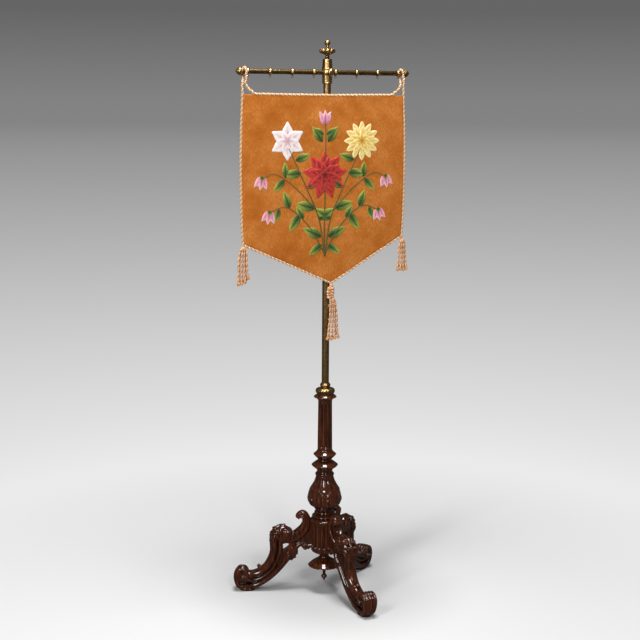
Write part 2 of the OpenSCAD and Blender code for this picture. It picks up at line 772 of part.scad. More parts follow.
module thumb_screw() {
    tip = bar_r + soft_gap;
    color(bright_brass) translate([0, 0, bar_z]) rotate([90, 0, 0]) {
        translate([0, 0, tip]) cylinder(r = thumb_shank_r, h = thumb_out - tip + 1);
        translate([0, 0, thumb_out])
            difference() {
                rotate_extrude()
                    polygon(concat([[0, 0], [thumb_r * .6, 0]], bead(thumb_r - 1, 1, 1.5, thumb_h - 2),
                        [[thumb_r * .7, thumb_h - .6], [thumb_r * .3, thumb_h], [0, thumb_h]]));
                for (i = [0:11])
                    rotate([0, 0, 30 * i]) translate([thumb_r + .7, 0, -1])
                        cylinder(r = 1.4, h = thumb_h + 2);
            }
    }
}

// Cross bar

module bar_rod() {
    half = acorn_x + acorn_bore - .5;
    color(brass) along_bar(-half) cylinder(r = bar_r, h = 2 * half);
}

function knop_x(i) = (i - (knop_count - 1) / 2) * knop_pitch;

module bar_knops() {
    color(bright_brass)
        for (i = [0:knop_count - 1])
            along_bar(knop_x(i) - knop_l / 2)
                difference() {
                    rotate_extrude()
                        polygon(concat([[0, 0]], bead(knop_neck, knop_r - knop_neck, 0, knop_l, .7),
                            [[0, knop_l]]));
                    translate([0, 0, -1]) cylinder(r = bar_r + seat_gap, h = knop_l + 2);
                }
}

module bar_eyes() {
    ring_r = eye_r + eye_wire / 2;
    color(brass)
        for (i = [0:knop_count - 1])
            translate([bar_shift + knop_x(i), 0, bar_z - knop_r - eye_wire - ring_r]) {
                rotate([90, 0, 0]) rotate_extrude() translate([ring_r, 0]) circle(eye_wire / 2, $fn = 24);
                translate([0, 0, ring_r]) cylinder(r = eye_wire / 2, h = eye_wire - soft_gap / 2);
            }
}

module bar_end() {
    collar = bar_r + 2.5;
    difference() {
        rotate_extrude()
            polygon(concat([[0, 0], [collar, 0], [collar, 1.5], [acorn_r - 1, 2]], bead(acorn_r - 1, 1, 2, 5),
                [for (p = [[.94, .2], [.83, .4], [.64, .6], [.38, .78], [.14, .92], [0, 1]])
                    [acorn_r * p[0], 5 + (acorn_l - 5) * p[1]]]));
        translate([0, 0, -1]) cylinder(r = bar_r + seat_gap, h = acorn_bore + 1);
    }
}

module bar_end_left() { color(brass) along_bar(-acorn_x) mirror([0, 0, 1]) bar_end(); }

module bar_end_right() { color(brass) along_bar(acorn_x) bar_end(); }

// Banner

// Outline of the banner by its cord, from the top left corner clockwise, in X and Z
function bow_at(p, q, bow, t) =
    let (d = q - p, out = [-d[1], d[0]] / norm(d))
    p + t * d + bow * 4 * t * (1 - t) * out;

function bowed(p, q, bow, n) = [for (i = [0:n - 1]) bow_at(p, q, bow, i / n)];

top_steps = 10;
banner_l = banner_mid - banner_w / 2;
banner_r = banner_mid + banner_w / 2;
banner_outline = concat(
    bowed([banner_l, banner_top], [banner_r, banner_top], -top_sag, top_steps),
    bowed([banner_r, banner_top], [banner_r, right_z], side_bow, 8),
    bowed([banner_r, right_z], [point_x, point_z], 0, 4),
    bowed([point_x, point_z], [banner_l, left_z], 0, 4),
    bowed([banner_l, left_z], [banner_l, banner_top], side_bow, 8));

// The top cord, which leaves each corner free
corner_run = 36;
corner_free = corner_run / banner_w;
top_run = [for (i = [0:top_steps])
    bow_at([banner_l, banner_top], [banner_r, banner_top], -top_sag,
        corner_free + (1 - 2 * corner_free) * i / top_steps)];

module banner_layer(front, thick) {
    translate([0, banner_y + front, 0]) rotate([90, 0, 0])
        linear_extrude(thick) offset(delta = -cord_r - .1) polygon(banner_outline);
}

module velvet_face() { color("#bd6f2c") banner_layer(-(sheet_t / 2 - velvet_t), velvet_t); }

module interlining() { color("#d8cfbb") banner_layer(-(sheet_t / 2 - velvet_t - inter_t), inter_t); }

module back_lining() { color("#a5682f") banner_layer(sheet_t / 2, lining_t); }

// The cord runs round the sides and point, and again along the top, where it stops short of both corners
module edge_cord() {
    last = len(banner_outline) - 1;
    round_edge = [for (i = [top_steps:last]) banner_outline[i], banner_outline[0]];
    color(cord_colour)
        for (run = [round_edge, top_run])
            tube([for (p = run) [p[0], banner_y, p[1]]], cord_r, 8, [0, -1, 0]);
}

// A corner loop carries on from the side cord, passes over the rod and comes down into the top cord.
// On both loops the leg at the left goes up behind the rod, and the leg at the right down its front.
module corner_loop(side) {
    // the banner's corner outward from the loop's plane, the legs' spread on the rod and below it
    lean = side * banner_shift + banner_w / 2 - loop_x;
    spread = 1.4;
    pair = cord_d + 2.4;
    // legs from the rod down, as [share of the drop, towards the back, share of the way outward]
    front_leg = [[.18, 3, .05], [.34, .9, .42], [.51, 0, .85]];
    back_leg = [[.14, 19.8, 0], [.25, 14.3, .15], [.37, 7.8, .5], [.51, 2.5, .85]];
    outer_leg = side > 0 ? front_leg : back_leg;
    inner_leg = side > 0 ? back_leg : front_leg;
    rise = [for (i = [len(outer_leg) - 1:-1:0]) let (p = outer_leg[i])
        [spread + (lean - spread) * p[2], p[1], bar_z - banner_drop * p[0]]];
    over = [for (a = side > 0 ? [200:-35:-15] : [-15:35:200])
        [side * (a - 92) / 78, loop_r * cos(a) - banner_y, bar_z + loop_r * sin(a)]];
    fall = [for (p = inner_leg) [(lean - pair + spread) * p[2] - spread, p[1], bar_z - banner_drop * p[0]]];
    join = [for (p = [[.28, .38], [.46, .21], [.72, .085]])
        [lean - corner_run * p[0], 0, banner_top + banner_drop * p[1]]];
    foot = [[lean, 0, banner_top + 2 * soft_gap], [lean, 0, banner_top + banner_drop * .28]];
    route = [for (p = concat(foot, rise, over, fall, join))
        [bar_shift + side * (loop_x + p[0]), banner_y + p[1], p[2]]];
    end = top_run[side < 0 ? 0 : len(top_run) - 1];
    tube(smooth(concat(route, [[end[0] + side * soft_gap, banner_y, end[1]]]), 2), cord_r - .1, 8, [1, 0, 0]);
}

module loop_left() { color(cord_colour) corner_loop(-1); }

module loop_right() { color(cord_colour) corner_loop(1); }

// Tassels

// Half widths of a tassel down its length, as [drop, half width]: neck, wrapped knot, spreading skirt
function tassel_form(length, knot) =
    let (skirt = tassel_neck + knot)
    concat(
        [[0, tassel_top_r], [tassel_neck * .5, cord_r]],
        knot > 0 ? [for (i = [0:6]) [tassel_neck + knot * i / 7, tassel_top / 2 * (i % 2 == 1 ? 1.1 : .88)]]
                 : [[tassel_neck, tassel_top * .42]],
        [for (t = [.12, .3, .5, .7, .88, 1])
            [skirt + (length - skirt) * t, (tassel_top + (tassel_end - tassel_top) * pow(t, 1.6)) / 2]]);

// A tassel hangs from its top, with a strand at each lobe of its section
module tassel(x, y, top, length, knot = 0) {
    sides = tassel_strands * 3;
    form = tassel_form(length, knot);
    points = [for (level = form, j = [0:sides - 1])
        let (a = 360 * j / sides, lobe = 1 - .08 * (1 + cos(a * tassel_strands)))
        [x + level[1] * lobe * cos(a), y + min(level[1], tassel_depth / 2) * lobe * sin(a), top - level[0]]];
    polyhedron(points, tube_faces(len(form), sides), convexity = 8);
}

// A corner tassel's top clears the cord that slopes down to the point, at rest and as it sways in
tassel_top_r = cord_r * .6;
tassel_gap = 0.4;
function corner_tassel_z(x, z) =
    let (slope = atan((z - point_z) / abs(x - point_x)))
    z - tassel_top_r * tan(slope) - (cord_r + tassel_gap) / cos(slope);
point_tassel_z = point_z - cord_r - soft_gap;

module tassel_left() {
    color(cord_colour) tassel(banner_l, banner_y, corner_tassel_z(banner_l, left_z), left_tassel);
}

module tassel_middle() {
    color(cord_colour)
        tassel(point_x, -(pole_r + .5 + tassel_depth / 2), point_tassel_z, middle_tassel, knot_h);
}

module tassel_right() {
    color(cord_colour) tassel(banner_r, banner_y, corner_tassel_z(banner_r, right_z), right_tassel);
}

leg_left();
leg_front();
leg_rear();
toe_blocks();
hub();
pendant_disc();
pendant_drop();
baluster();
column();
socket_tube();
ferrule();
collet();
lock_nut();
pole_tube();
pivot_plug();
head_tee();
head_cap();
finial();
thumb_screw();
bar_rod();
bar_knops();
bar_eyes();
bar_end_left();
bar_end_right();
velvet_face();
interlining();
back_lining();
edge_cord();
loop_left();
loop_right();
tassel_left();
tassel_middle();
tassel_right();
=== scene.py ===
"""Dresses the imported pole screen: carved walnut stand, aged brass pole and bar, painted velvet banner.

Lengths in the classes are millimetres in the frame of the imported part: origin on the floor under the
pole, +Z up, cross bar along X, banner facing -Y.
"""

import logging
import math
from dataclasses import dataclass, field
from enum import Enum
from random import Random

import bmesh
import bpy
import numpy as np
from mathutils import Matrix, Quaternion, Vector
from mathutils.geometry import tessellate_polygon


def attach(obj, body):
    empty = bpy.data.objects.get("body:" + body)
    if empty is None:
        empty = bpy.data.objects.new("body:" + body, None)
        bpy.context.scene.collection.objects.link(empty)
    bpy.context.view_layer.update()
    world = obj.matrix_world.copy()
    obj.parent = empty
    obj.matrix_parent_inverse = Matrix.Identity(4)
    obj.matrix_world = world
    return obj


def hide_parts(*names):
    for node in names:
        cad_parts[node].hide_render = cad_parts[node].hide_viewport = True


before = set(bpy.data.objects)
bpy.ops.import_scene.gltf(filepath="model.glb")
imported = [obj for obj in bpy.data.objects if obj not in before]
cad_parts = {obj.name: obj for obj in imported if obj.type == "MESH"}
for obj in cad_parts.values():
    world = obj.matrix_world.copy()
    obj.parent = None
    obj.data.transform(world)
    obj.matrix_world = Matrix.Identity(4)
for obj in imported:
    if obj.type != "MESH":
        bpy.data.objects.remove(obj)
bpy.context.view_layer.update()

MM = 0.001
TURN = 2 * math.pi
# Sockets of the colour Mix node, which share their names with its number and vector sockets
MIX_FACTOR, MIX_A, MIX_B, MIX_RESULT = 0, 6, 7, 2
# Radians that the Wave node runs over in one unit of its scale
WAVE_RUN = 20
Socket = bpy.types.NodeSocket
log = logging.getLogger("pole_screen")


def linear(hex_colour: str) -> tuple[float, float, float, float]:
    """Turn an sRGB hex colour, six digits after a hash sign, into a linear one with an alpha of 1."""
    parts = [int(hex_colour[i : i + 2], 16) / 255 for i in (1, 3, 5)]
    return (*[p / 12.92 if p <= 0.04045 else ((p + 0.055) / 1.055) ** 2.4 for p in parts], 1.0)


def per_metre(size_mm: float) -> float:
    """Give the pattern scale at which one feature is size_mm across."""
    return 1 / (size_mm * MM)


def add_node(tree: bpy.types.NodeTree, kind: str, inputs: dict | None = None, **settings) -> bpy.types.Node:
    """Add a node with its settings and links.

    Args:
        tree: The node tree to add to.
        kind: Blender's name of the node type.
        inputs: Socket name or number to a value, or to another node's output to link.
        settings: Properties of the node; stops are a colour ramp's (place, hex colour) pairs.

    Returns:
        The new node.
    """
    node = tree.nodes.new(kind)
    for place, (at, colour) in enumerate(settings.pop("stops", [])):
        elements = node.color_ramp.elements
        stop = elements[place] if place < 2 else elements.new(at)
        stop.position = at
        stop.color = linear(colour)
    for name, value in settings.items():
        setattr(node, name, value)
    for name, value in (inputs or {}).items():
        if isinstance(value, Socket):
            tree.links.new(value, node.inputs[name])
        else:
            node.inputs[name].default_value = value
    return node


@dataclass
class Bench:
    """A node tree in the making, with one short call for each node that several surfaces share."""

    tree: bpy.types.NodeTree

    def coords(self, space: str = "Object") -> Socket:
        """Give places on the object, or another of the coordinates there are."""
        return add_node(self.tree, "ShaderNodeTexCoord").outputs[space]

    def stretched(self, scale: tuple[float, ...], lean: tuple[float, ...] = (0.0, 0.0, 0.0)) -> Socket:
        """Give places on the object, stretched along its axes and leant over."""
        inputs = {"Vector": self.coords(), "Rotation": lean, "Scale": scale}
        return add_node(self.tree, "ShaderNodeMapping", inputs).outputs[0]

    def noise(self, place: Socket, size_mm: float, **inputs: float) -> Socket:
        """Give noise with features of a size, and the noise node's own inputs, such as Detail."""
        inputs = {"Vector": place, "Scale": per_metre(size_mm), **inputs}
        return add_node(self.tree, "ShaderNodeTexNoise", inputs).outputs[0]

    def ramp(self, value: Socket, *stops: tuple[float, str]) -> Socket:
        """Turn a value into colours. The first two stops are the ramp's own ends."""
        return add_node(self.tree, "ShaderNodeValToRGB", {"Fac": value}, stops=stops).outputs[0]

    def mix(self, share: Socket, first: Socket | str, second: Socket | str) -> Socket:
        """Go by a share from one colour to another, each a socket or a hex colour."""
        a, b = (linear(c) if isinstance(c, str) else c for c in (first, second))
        inputs = {MIX_FACTOR: share, MIX_A: a, MIX_B: b}
        return add_node(self.tree, "ShaderNodeMix", inputs, data_type="RGBA").outputs[MIX_RESULT]

    def span(
        self, value: Socket, to: tuple[float, float], over: tuple[float, float] = (0.0, 1.0), **settings: str
    ) -> Socket:
        """Map the range that a value goes over to another range."""
        ends = {"From Min": over[0], "From Max": over[1], "To Min": to[0], "To Max": to[1]}
        return add_node(self.tree, "ShaderNodeMapRange", {"Value": value, **ends}, **settings).outputs[0]

    def maths(self, operation: str, first: Socket | float, second: Socket | float) -> Socket:
        """Work out one number from two."""
        return add_node(self.tree, "ShaderNodeMath", {0: first, 1: second}, operation=operation).outputs[0]

    def openness(self, reach_mm: float, inside: bool = False) -> Socket:
        """Give how free a place is of the same piece's surface within reach, from 0 to 1."""
        settings = {"samples": 8, "only_local": True, "inside": inside}
        return add_node(self.tree, "ShaderNodeAmbientOcclusion", {"Distance": reach_mm * MM}, **settings).outputs["AO"]

    def bump(self, height: Socket, strength: float, depth_mm: float) -> Socket:
        """Give the normals of a fine relief."""
        inputs = {"Height": height, "Strength": strength, "Distance": depth_mm * MM}
        return add_node(self.tree, "ShaderNodeBump", inputs).outputs[0]

    def stored(self, attribute: str) -> Socket:
        """Give a value that is stored on the mesh's points."""
        return add_node(self.tree, "ShaderNodeAttribute", attribute_name=attribute).outputs["Fac"]


# Finishes


@dataclass(frozen=True)
class Finish:
    """A surface finish, made once as one procedural material."""

    name: str

    def material(self) -> bpy.types.Material:
        """Find or make the finish's material."""
        made = bpy.data.materials.get(self.name)
        if made is None:
            made = bpy.data.materials.new(self.name)
            made.use_nodes = True
            tree = made.node_tree
            tree.nodes.clear()
            shader = add_node(tree, "ShaderNodeBsdfPrincipled", self.wired(Bench(tree)))
            add_node(tree, "ShaderNodeOutputMaterial", {"Surface": shader.outputs[0]})
        return made

    def wired(self, bench: Bench) -> dict[str, Socket | float]:
        """Wire the finish's own nodes.

        Args:
            bench: The material's node tree.

        Returns:
            What goes into each socket of the shader.
        """
        raise NotImplementedError


@dataclass(frozen=True)
class PolishedWalnut(Finish):
    """Walnut, carved and turned, stained and French polished.

    The eye sees deep red-brown with streaked grain, near black in the cuts as painted shade,
    lighter and warmer on the convex edges as a painted highlight, under a wet gloss.
    """

    lean: tuple[float, float, float] = (0.0, 0.0, 0.0)
    streak_mm: float = 4.5
    pore_mm: float = 1.4
    cut_shade_mm: float = 13.0
    edge_highlight_mm: float = 3.0

    def wired(self, bench: Bench) -> dict[str, Socket | float]:
        """Wire grain streaks, pores, a painted highlight on the edges, painted shade in the cuts and the polish."""
        along = bench.stretched((1.0, 1.0, 0.08), self.lean)
        streaks = bench.noise(along, self.streak_mm, Detail=5.0, Distortion=0.7)
        stain = bench.ramp(streaks, (0.3, "#250d05"), (0.76, "#6c3514"), (0.52, "#431d0b"))
        # Real walnut pores are about 0.2 mm wide, drawn coarser so that they show
        pores = bench.noise(along, self.pore_mm, Detail=2.0)
        pored = bench.mix(bench.span(pores, (0.0, 0.55), (0.52, 0.72)), stain, "#1c0a06")
        # Painted highlight: lighter, warmer colour on the convex edges, standing in for lit rims
        edges = bench.span(bench.openness(self.edge_highlight_mm, inside=True), (0.6, 0.0), (0.45, 0.9))
        edge_highlighted = bench.mix(edges, pored, "#96501f")
        # Painted shade: near black where the piece's own surface closes in, in the cuts and hollows
        cut_shade = bench.ramp(bench.openness(self.cut_shade_mm), (0.4, "#000000"), (0.94, "#ffffff"))
        return {
            "Base Color": bench.mix(cut_shade, "#0a0302", edge_highlighted),
            "Roughness": bench.span(streaks, (0.3, 0.5)),
            "Normal": bench.bump(pores, 0.12, 0.3),
            "IOR": 1.5,
            "Specular IOR Level": 0.06,
            "Coat Weight": 1.0,
            "Coat IOR": 1.6,
            "Coat Roughness": 0.05,
        }


@dataclass(frozen=True)
class Brass(Finish):
    """Cast or drawn brass, lacquered once and left to age.

    The eye sees gold metal where hands keep it bright, clouded olive-brown where the lacquer has gone,
    and darker metal in the corners.
    """

    clean: str = "#d8b47c"
    dull: str = "#8c6838"
    corner_dark: str = "#1d1207"
    cloud_mm: float = 9.0
    scratch_mm: float = 0.8
    corner_mm: float = 5.0
    smooth: float = 0.27
    worn: float = 0.4

    def wired(self, bench: Bench) -> dict[str, Socket | float]:
        """Wire tarnish clouds, darkening in the corners and fine scratches."""
        place = bench.coords()
        clouds = bench.noise(place, self.cloud_mm, Detail=6.0, Roughness=0.65)
        tarnish = bench.ramp(clouds, (0.36, self.dull), (0.66, self.clean))
        # Darker where the piece's own surface closes in, in the corners
        corner_darkening = bench.ramp(bench.openness(self.corner_mm), (0.3, "#000000"), (0.85, "#ffffff"))
        # Polishing scratches are hair fine, drawn coarser so that they show
        scratches = bench.noise(place, self.scratch_mm, Detail=3.0)
        return {
            "Base Color": bench.mix(corner_darkening, self.corner_dark, tarnish),
            "Roughness": bench.span(clouds, (self.worn, self.smooth), (0.3, 0.7)),
            "Normal": bench.bump(scratches, 0.04, 0.2),
            "Metallic": 1.0,
        }


@dataclass(frozen=True)
class CottonVelvet(Finish):
    """Cotton velvet, woven with a short cut pile and faded by the fire.

    The eye sees matt golden brown with a soft bloom at grazing angles, clouded where the pile leans,
    with small pale scuffs.
    """

    cloud_mm: float = 55.0
    nap_mm: float = 2.2
    scuff_mm: float = 9.0

    def wired(self, bench: Bench) -> dict[str, Socket | float]:
        """Wire pile clouds, nap, scuffs and sheen."""
        place = bench.coords()
        clouds = bench.noise(place, self.cloud_mm, Detail=6.0, Roughness=0.6)
        pile = bench.ramp(clouds, (0.3, "#b05d16"), (0.72, "#de8e46"), (0.5, "#c9772d"))
        # A velvet's tufts stand about 0.5 mm apart, drawn coarser so that the nap shows
        nap = bench.noise(bench.stretched((1.0, 1.0, 0.3)), self.nap_mm, Detail=3.0, Roughness=0.7)
        napped = bench.mix(bench.span(nap, (0.0, 0.75), (0.32, 0.68)), pile, "#96500f")
        rubs = bench.noise(place, self.scuff_mm, Detail=8.0, Roughness=0.75)
        scuffs = bench.span(rubs, (0.0, 0.6), (0.58, 0.76))
        return {
            "Base Color": bench.mix(scuffs, napped, "#e2a566"),
            "Normal": bench.bump(nap, 0.5, 0.5),
            "Roughness": 0.92,
            "Specular IOR Level": 0.2,
            "Sheen Weight": 0.25,
            "Sheen Roughness": 0.45,
            "Sheen Tint": linear("#e8a868"),
        }


@dataclass(frozen=True)
class SateenLining(Finish):
    """Cotton sateen, plain woven for the back of the banner.

    The eye sees flat golden brown cloth with fine crossing threads and a slight shine.
    """

    thread_mm: float = 6.91
    fade_mm: float = 90.0

    def wired(self, bench: Bench) -> dict[str, Socket | float]:
        """Wire crossing threads and fading."""
        place = bench.coords()
        # Sateen has about 25 threads to the centimetre, drawn much coarser so that they show
        wave = {"Vector": place, "Scale": TURN * per_metre(self.thread_mm) / WAVE_RUN, "Distortion": 0.6}
        threads = [add_node(bench.tree, "ShaderNodeTexWave", wave, bands_direction=axis) for axis in ("X", "Z")]
        weave = bench.maths("MULTIPLY", *[t.outputs["Fac"] for t in threads])
        cloth = bench.ramp(bench.noise(place, self.fade_mm, Detail=4.0), (0.35, "#8a5526"), (0.68, "#a86e36"))
        return {
            "Base Color": bench.mix(bench.span(weave, (0.3, 0.0)), cloth, "#6d3f18"),
            "Normal": bench.bump(weave, 0.3, 0.3),
            "Roughness": 0.55,
            "Sheen Weight": 0.1,
        }


@dataclass(frozen=True)
class TwistedSilk(Finish):
    """Silk cord, twisted from a cream ply and a gold ply.

    The eye sees a candy-stripe of pale pink-cream and old gold with fine threads, with painted shade between the plies.
    """

    cream: str = "#efd2ab"
    gold: str = "#d09a66"
    thread_mm: float = 1.2
    cleft_shade_mm: float = 3.0

    def wired(self, bench: Bench) -> dict[str, Socket | float]:
        """Wire the two plies, their threads and the painted shade between them."""
        plies = bench.ramp(bench.stored("ply"), (0.4, self.gold), (0.6, self.cream))
        # Painted shade: darker where the plies close in on each other
        cleft = bench.ramp(bench.openness(self.cleft_shade_mm), (0.15, "#000000"), (0.75, "#ffffff"))
        threads = bench.noise(bench.coords(), self.thread_mm, Detail=3.0)
        return {
            "Base Color": bench.mix(cleft, "#6d3f1e", plies),
            "Normal": bench.bump(threads, 0.3, 0.3),
            "Roughness": 0.55,
            "Sheen Weight": 0.2,
        }


@dataclass(frozen=True)
class BodyColour(Finish):
    """Opaque paint, laid on the velvet with a brush.

    The eye sees strokes that run from a deep middle to a light edge, streaked along the petal.
    """

    deep: str
    middle: str
    light: str
    stroke_mm: float = 2.5

    def wired(self, bench: Bench) -> dict[str, Socket | float]:
        """Wire the shading from root to edge and the brush streaks."""
        strokes = bench.noise(bench.coords(), self.stroke_mm, Detail=3.0)
        shade = bench.maths("ADD", bench.stored("tone"), bench.span(strokes, (-0.28, 0.28)))
        return {
            "Base Color": bench.ramp(shade, (0.05, self.deep), (0.95, self.light), (0.5, self.middle)),
            "Normal": bench.bump(strokes, 0.2, 0.3),
            "Roughness": 0.7,
        }


WALNUT = PolishedWalnut("french_polished_walnut")
LEG_WALNUT = PolishedWalnut("french_polished_walnut_leg", lean=(0.0, math.radians(38), 0.0))
AGED_BRASS = Brass("aged_brass_drawn")
BRIGHT_BRASS = Brass("bright_brass_turned", "#e6c68f", "#a98449", "#3a260e", cloud_mm=7.0, smooth=0.26, worn=0.38)
DARK_BRASS = Brass("dark_brass_rod", "#94784a", "#5a4526", "#150d06", cloud_mm=12.0, smooth=0.3, worn=0.46)
VELVET = CottonVelvet("cotton_velvet_ochre")
LINING = SateenLining("cotton_sateen_lining")
CORD = TwistedSilk("twisted_silk_cord")
SKIRT = TwistedSilk("twisted_silk_tassel", "#f0c096", "#cf9058")


# Shaping


def angles(count: int) -> np.ndarray:
    """Give evenly spaced angles round one turn."""
    return np.arange(count) * TURN / count


def squared(count: int, power: float) -> np.ndarray:
    """Give a unit circle's points, squared up by a power below 1."""
    round_points = np.column_stack([np.cos(angles(count)), np.sin(angles(count))])
    return np.sign(round_points) * np.abs(round_points) ** power


def mirrored(half: list[tuple[float, float]]) -> np.ndarray:
    """Close a half section, given from its inner to its outer side, with its mirror image."""
    return np.array([*half, *[(u, -v) for u, v in reversed(half) if v > 0]])


def smooth_route(control: np.ndarray, steps: int) -> np.ndarray:
    """Run a smooth curve through control points.

    Args:
        control: One row for each control point, of any width.
        steps: Points to each stretch between two control points.

    Returns:
        The curve's points, with the last control point at the end.
    """
    points = np.asarray(control, float)
    padded = np.vstack([points[:1], points, points[-1:]])
    t = np.linspace(0, 1, steps, endpoint=False)[:, None]
    runs = []
    for i in range(len(points) - 1):
        a, b, c, d = padded[i : i + 4]
        runs.append(b + 0.5 * t * ((c - a) + t * ((2 * a - 5 * b + 4 * c - d) + t * (3 * b - 3 * c + d - a))))
    return np.vstack([*runs, points[-1:]])


def run_along(route: np.ndarray) -> np.ndarray:
    """Give the length of a route up to each of its points."""
    return np.concatenate([[0], np.cumsum(np.linalg.norm(np.diff(route, axis=0), axis=1))])


def even_route(route: np.ndarray, spacing: float) -> np.ndarray:
    """Space a route's points evenly, at about the wanted distance from point to point."""
    run = run_along(route)
    at = np.linspace(0, run[-1], max(3, round(run[-1] / spacing) + 1))
    return np.column_stack([np.interp(at, run, route[:, k]) for k in range(route.shape[1])])


def carried_axes(route: np.ndarray) -> tuple[np.ndarray, np.ndarray]:
    """Carry two cross directions along a route without twist."""
    along = np.gradient(route, axis=0)
    along /= np.linalg.norm(along, axis=1)[:, None]
    start = np.array([0.0, 1.0, 0.0]) if abs(along[0][1]) < 0.9 else np.array([1.0, 0.0, 0.0])
    side = np.zeros_like(route)
    for i, way in enumerate(along):
        kept = start - way * (start @ way)
        start = kept / np.linalg.norm(kept)
        side[i] = start
    return side, np.cross(along, side)


def tube_rings(route: np.ndarray, radius: np.ndarray, sides: int, flat: float = 1.0) -> np.ndarray:
    """Lay rings along a route.

    Args:
        route: Points in order.
        radius: The radius at each point.
        sides: Points round a ring.
        flat: Share of the radius across the second direction.

    Returns:
        Points by ring and by place round the ring.
    """
    side, up = carried_axes(route)
    a = angles(sides)
    ring = np.cos(a)[None, :, None] * side[:, None] + flat * np.sin(a)[None, :, None] * up[:, None]
    return route[:, None] + np.asarray(radius)[:, None, None] * ring


def rope_rings(
    route: np.ndarray, radius: np.ndarray, pitch: float, sides: int, cleft: float = 1.0
) -> tuple[np.ndarray, np.ndarray]:
    """Lay the twisted rings of a two-ply cord along a route.

    Args:
        route: Evenly spaced points.
        radius: The cord's radius at each point.
        pitch: Length of one whole turn of the plies.
        sides: Points round a ring.
        cleft: Depth between the plies as a share of that of two round plies.

    Returns:
        The rings, and for each of their points which ply it is on, from 0 to 1.
    """
    side, up = carried_axes(route)
    step = np.linalg.norm(np.diff(route, axis=0), axis=1).mean()
    a = angles(sides)
    # Two plies side by side: a ring of two touching circles
    ply_r, ply_off = 0.56, 0.44
    reach = ply_off * np.abs(np.cos(a)) + np.sqrt(ply_r**2 - (ply_off * np.sin(a)) ** 2)
    reach = 1 - cleft * (1 - reach)
    turned = a[None, :] + TURN * np.arange(len(route))[:, None] * step / pitch
    ring = np.cos(turned)[..., None] * side[:, None] + np.sin(turned)[..., None] * up[:, None]
    rings = route[:, None] + (np.asarray(radius)[:, None] * reach[None, :])[..., None] * ring
    return rings, np.tile(np.cos(a) / 2 + 0.5, (len(route), 1))


@dataclass
class Blank:
    """A piece in the making: closed forms in millimetres, with named values on their points."""

    points: list[np.ndarray] = field(default_factory=list)
    faces: list[tuple[int, ...]] = field(default_factory=list)
    values: dict[str, list[np.ndarray]] = field(default_factory=dict)
    count: int = 0

    def take(self, points: np.ndarray, values: dict[str, np.ndarray]) -> int:
        """Take in points with their named values, and give the number of the first one."""
        first = self.count
        self.points.append(points)
        self.count += len(points)
        for name, numbers in values.items():
            self.values.setdefault(name, []).append(np.asarray(numbers, float).ravel())
        return first

    def rings(self, rings: np.ndarray, closed: bool = False, **values: np.ndarray) -> None:
        """Skin a row of rings, and cap its ends unless it closes on itself.

        Args:
            rings: Points by ring and by place round the ring.
            closed: Whether the last ring joins the first.
            values: Named values, one for each point.
        """
        n, m = rings.shape[:2]
        first = self.take(rings.reshape(-1, 3), values)
        for i in range(n if closed else n - 1):
            a, b = first + i * m, first + (i + 1) % n * m
            self.faces += [(a + j, a + (j + 1) % m, b + (j + 1) % m, b + j) for j in range(m)]
        if not closed:
            self.faces.append(tuple(range(first + m - 1, first - 1, -1)))
            self.faces.append(tuple(range(first + (n - 1) * m, first + n * m)))

    def thread(self, route: np.ndarray, radii: np.ndarray, sides: int, ply: float) -> None:
        """Lay a plain thread of one ply's colour along a route."""
        lay = tube_rings(route, radii, sides)
        self.rings(lay, ply=np.full(lay.shape[:2], ply))

    def pad(self, front: np.ndarray, back: np.ndarray, **values: np.ndarray) -> None:
        """Close a thin piece between two grids of the same shape.

        Args:
            front: Points by row and column.
            back: The matching points behind.
            values: Named values for one grid, used for both.
        """
        n, m = front.shape[:2]
        both = {k: np.concatenate([np.ravel(v), np.ravel(v)]) for k, v in values.items()}
        first = self.take(np.concatenate([front.reshape(-1, 3), back.reshape(-1, 3)]), both)
        behind = first + n * m
        for i in range(n - 1):
            for j in range(m - 1):
                a = i * m + j
                self.faces.append((first + a, first + a + 1, first + a + m + 1, first + a + m))
                self.faces.append((behind + a, behind + a + m, behind + a + m + 1, behind + a + 1))
        rim = [*range(m), *[i * m + m - 1 for i in range(1, n)]]
        rim += [(n - 1) * m + j for j in range(m - 2, -1, -1)] + [i * m for i in range(n - 2, 0, -1)]
        for a, b in zip(rim, rim[1:] + rim[:1]):
            self.faces.append((first + b, first + a, behind + a, behind + b))

    def mesh(self, name: str) -> bpy.types.Mesh:
        """Make a smooth-shaded mesh in metres, with its faces turned outwards."""
        made = bpy.data.meshes.new(name)
        made.from_pydata((np.concatenate(self.points) * MM).tolist(), [], self.faces)
        for key, numbers in self.values.items():
            made.attributes.new(key, "FLOAT", "POINT").data.foreach_set("value", np.concatenate(numbers))
        work = bmesh.new()
        work.from_mesh(made)
        bmesh.ops.recalc_face_normals(work, faces=work.faces)
        work.to_mesh(made)
        work.free()
        made.shade_smooth()
        return made


def lathe(outline: np.ndarray, foot: float, carve: np.ndarray, around: int) -> Blank:
    """Turn a closed outline about the pole's axis.

    Args:
        outline: Rows of radius and height, up the outside and down the bore.
        foot: Height at which the outline starts.
        carve: Millimetres carved off the outside, by row and by place round the ring.
        around: Points round a ring.

    Returns:
        The turned piece.
    """
    angle = angles(around)
    radius = outline[:, :1] - carve
    height = np.broadcast_to(outline[:, 1:] + foot, radius.shape)
    blank = Blank()
    blank.rings(np.stack([radius * np.cos(angle), radius * np.sin(angle), height], -1), closed=True)
    return blank


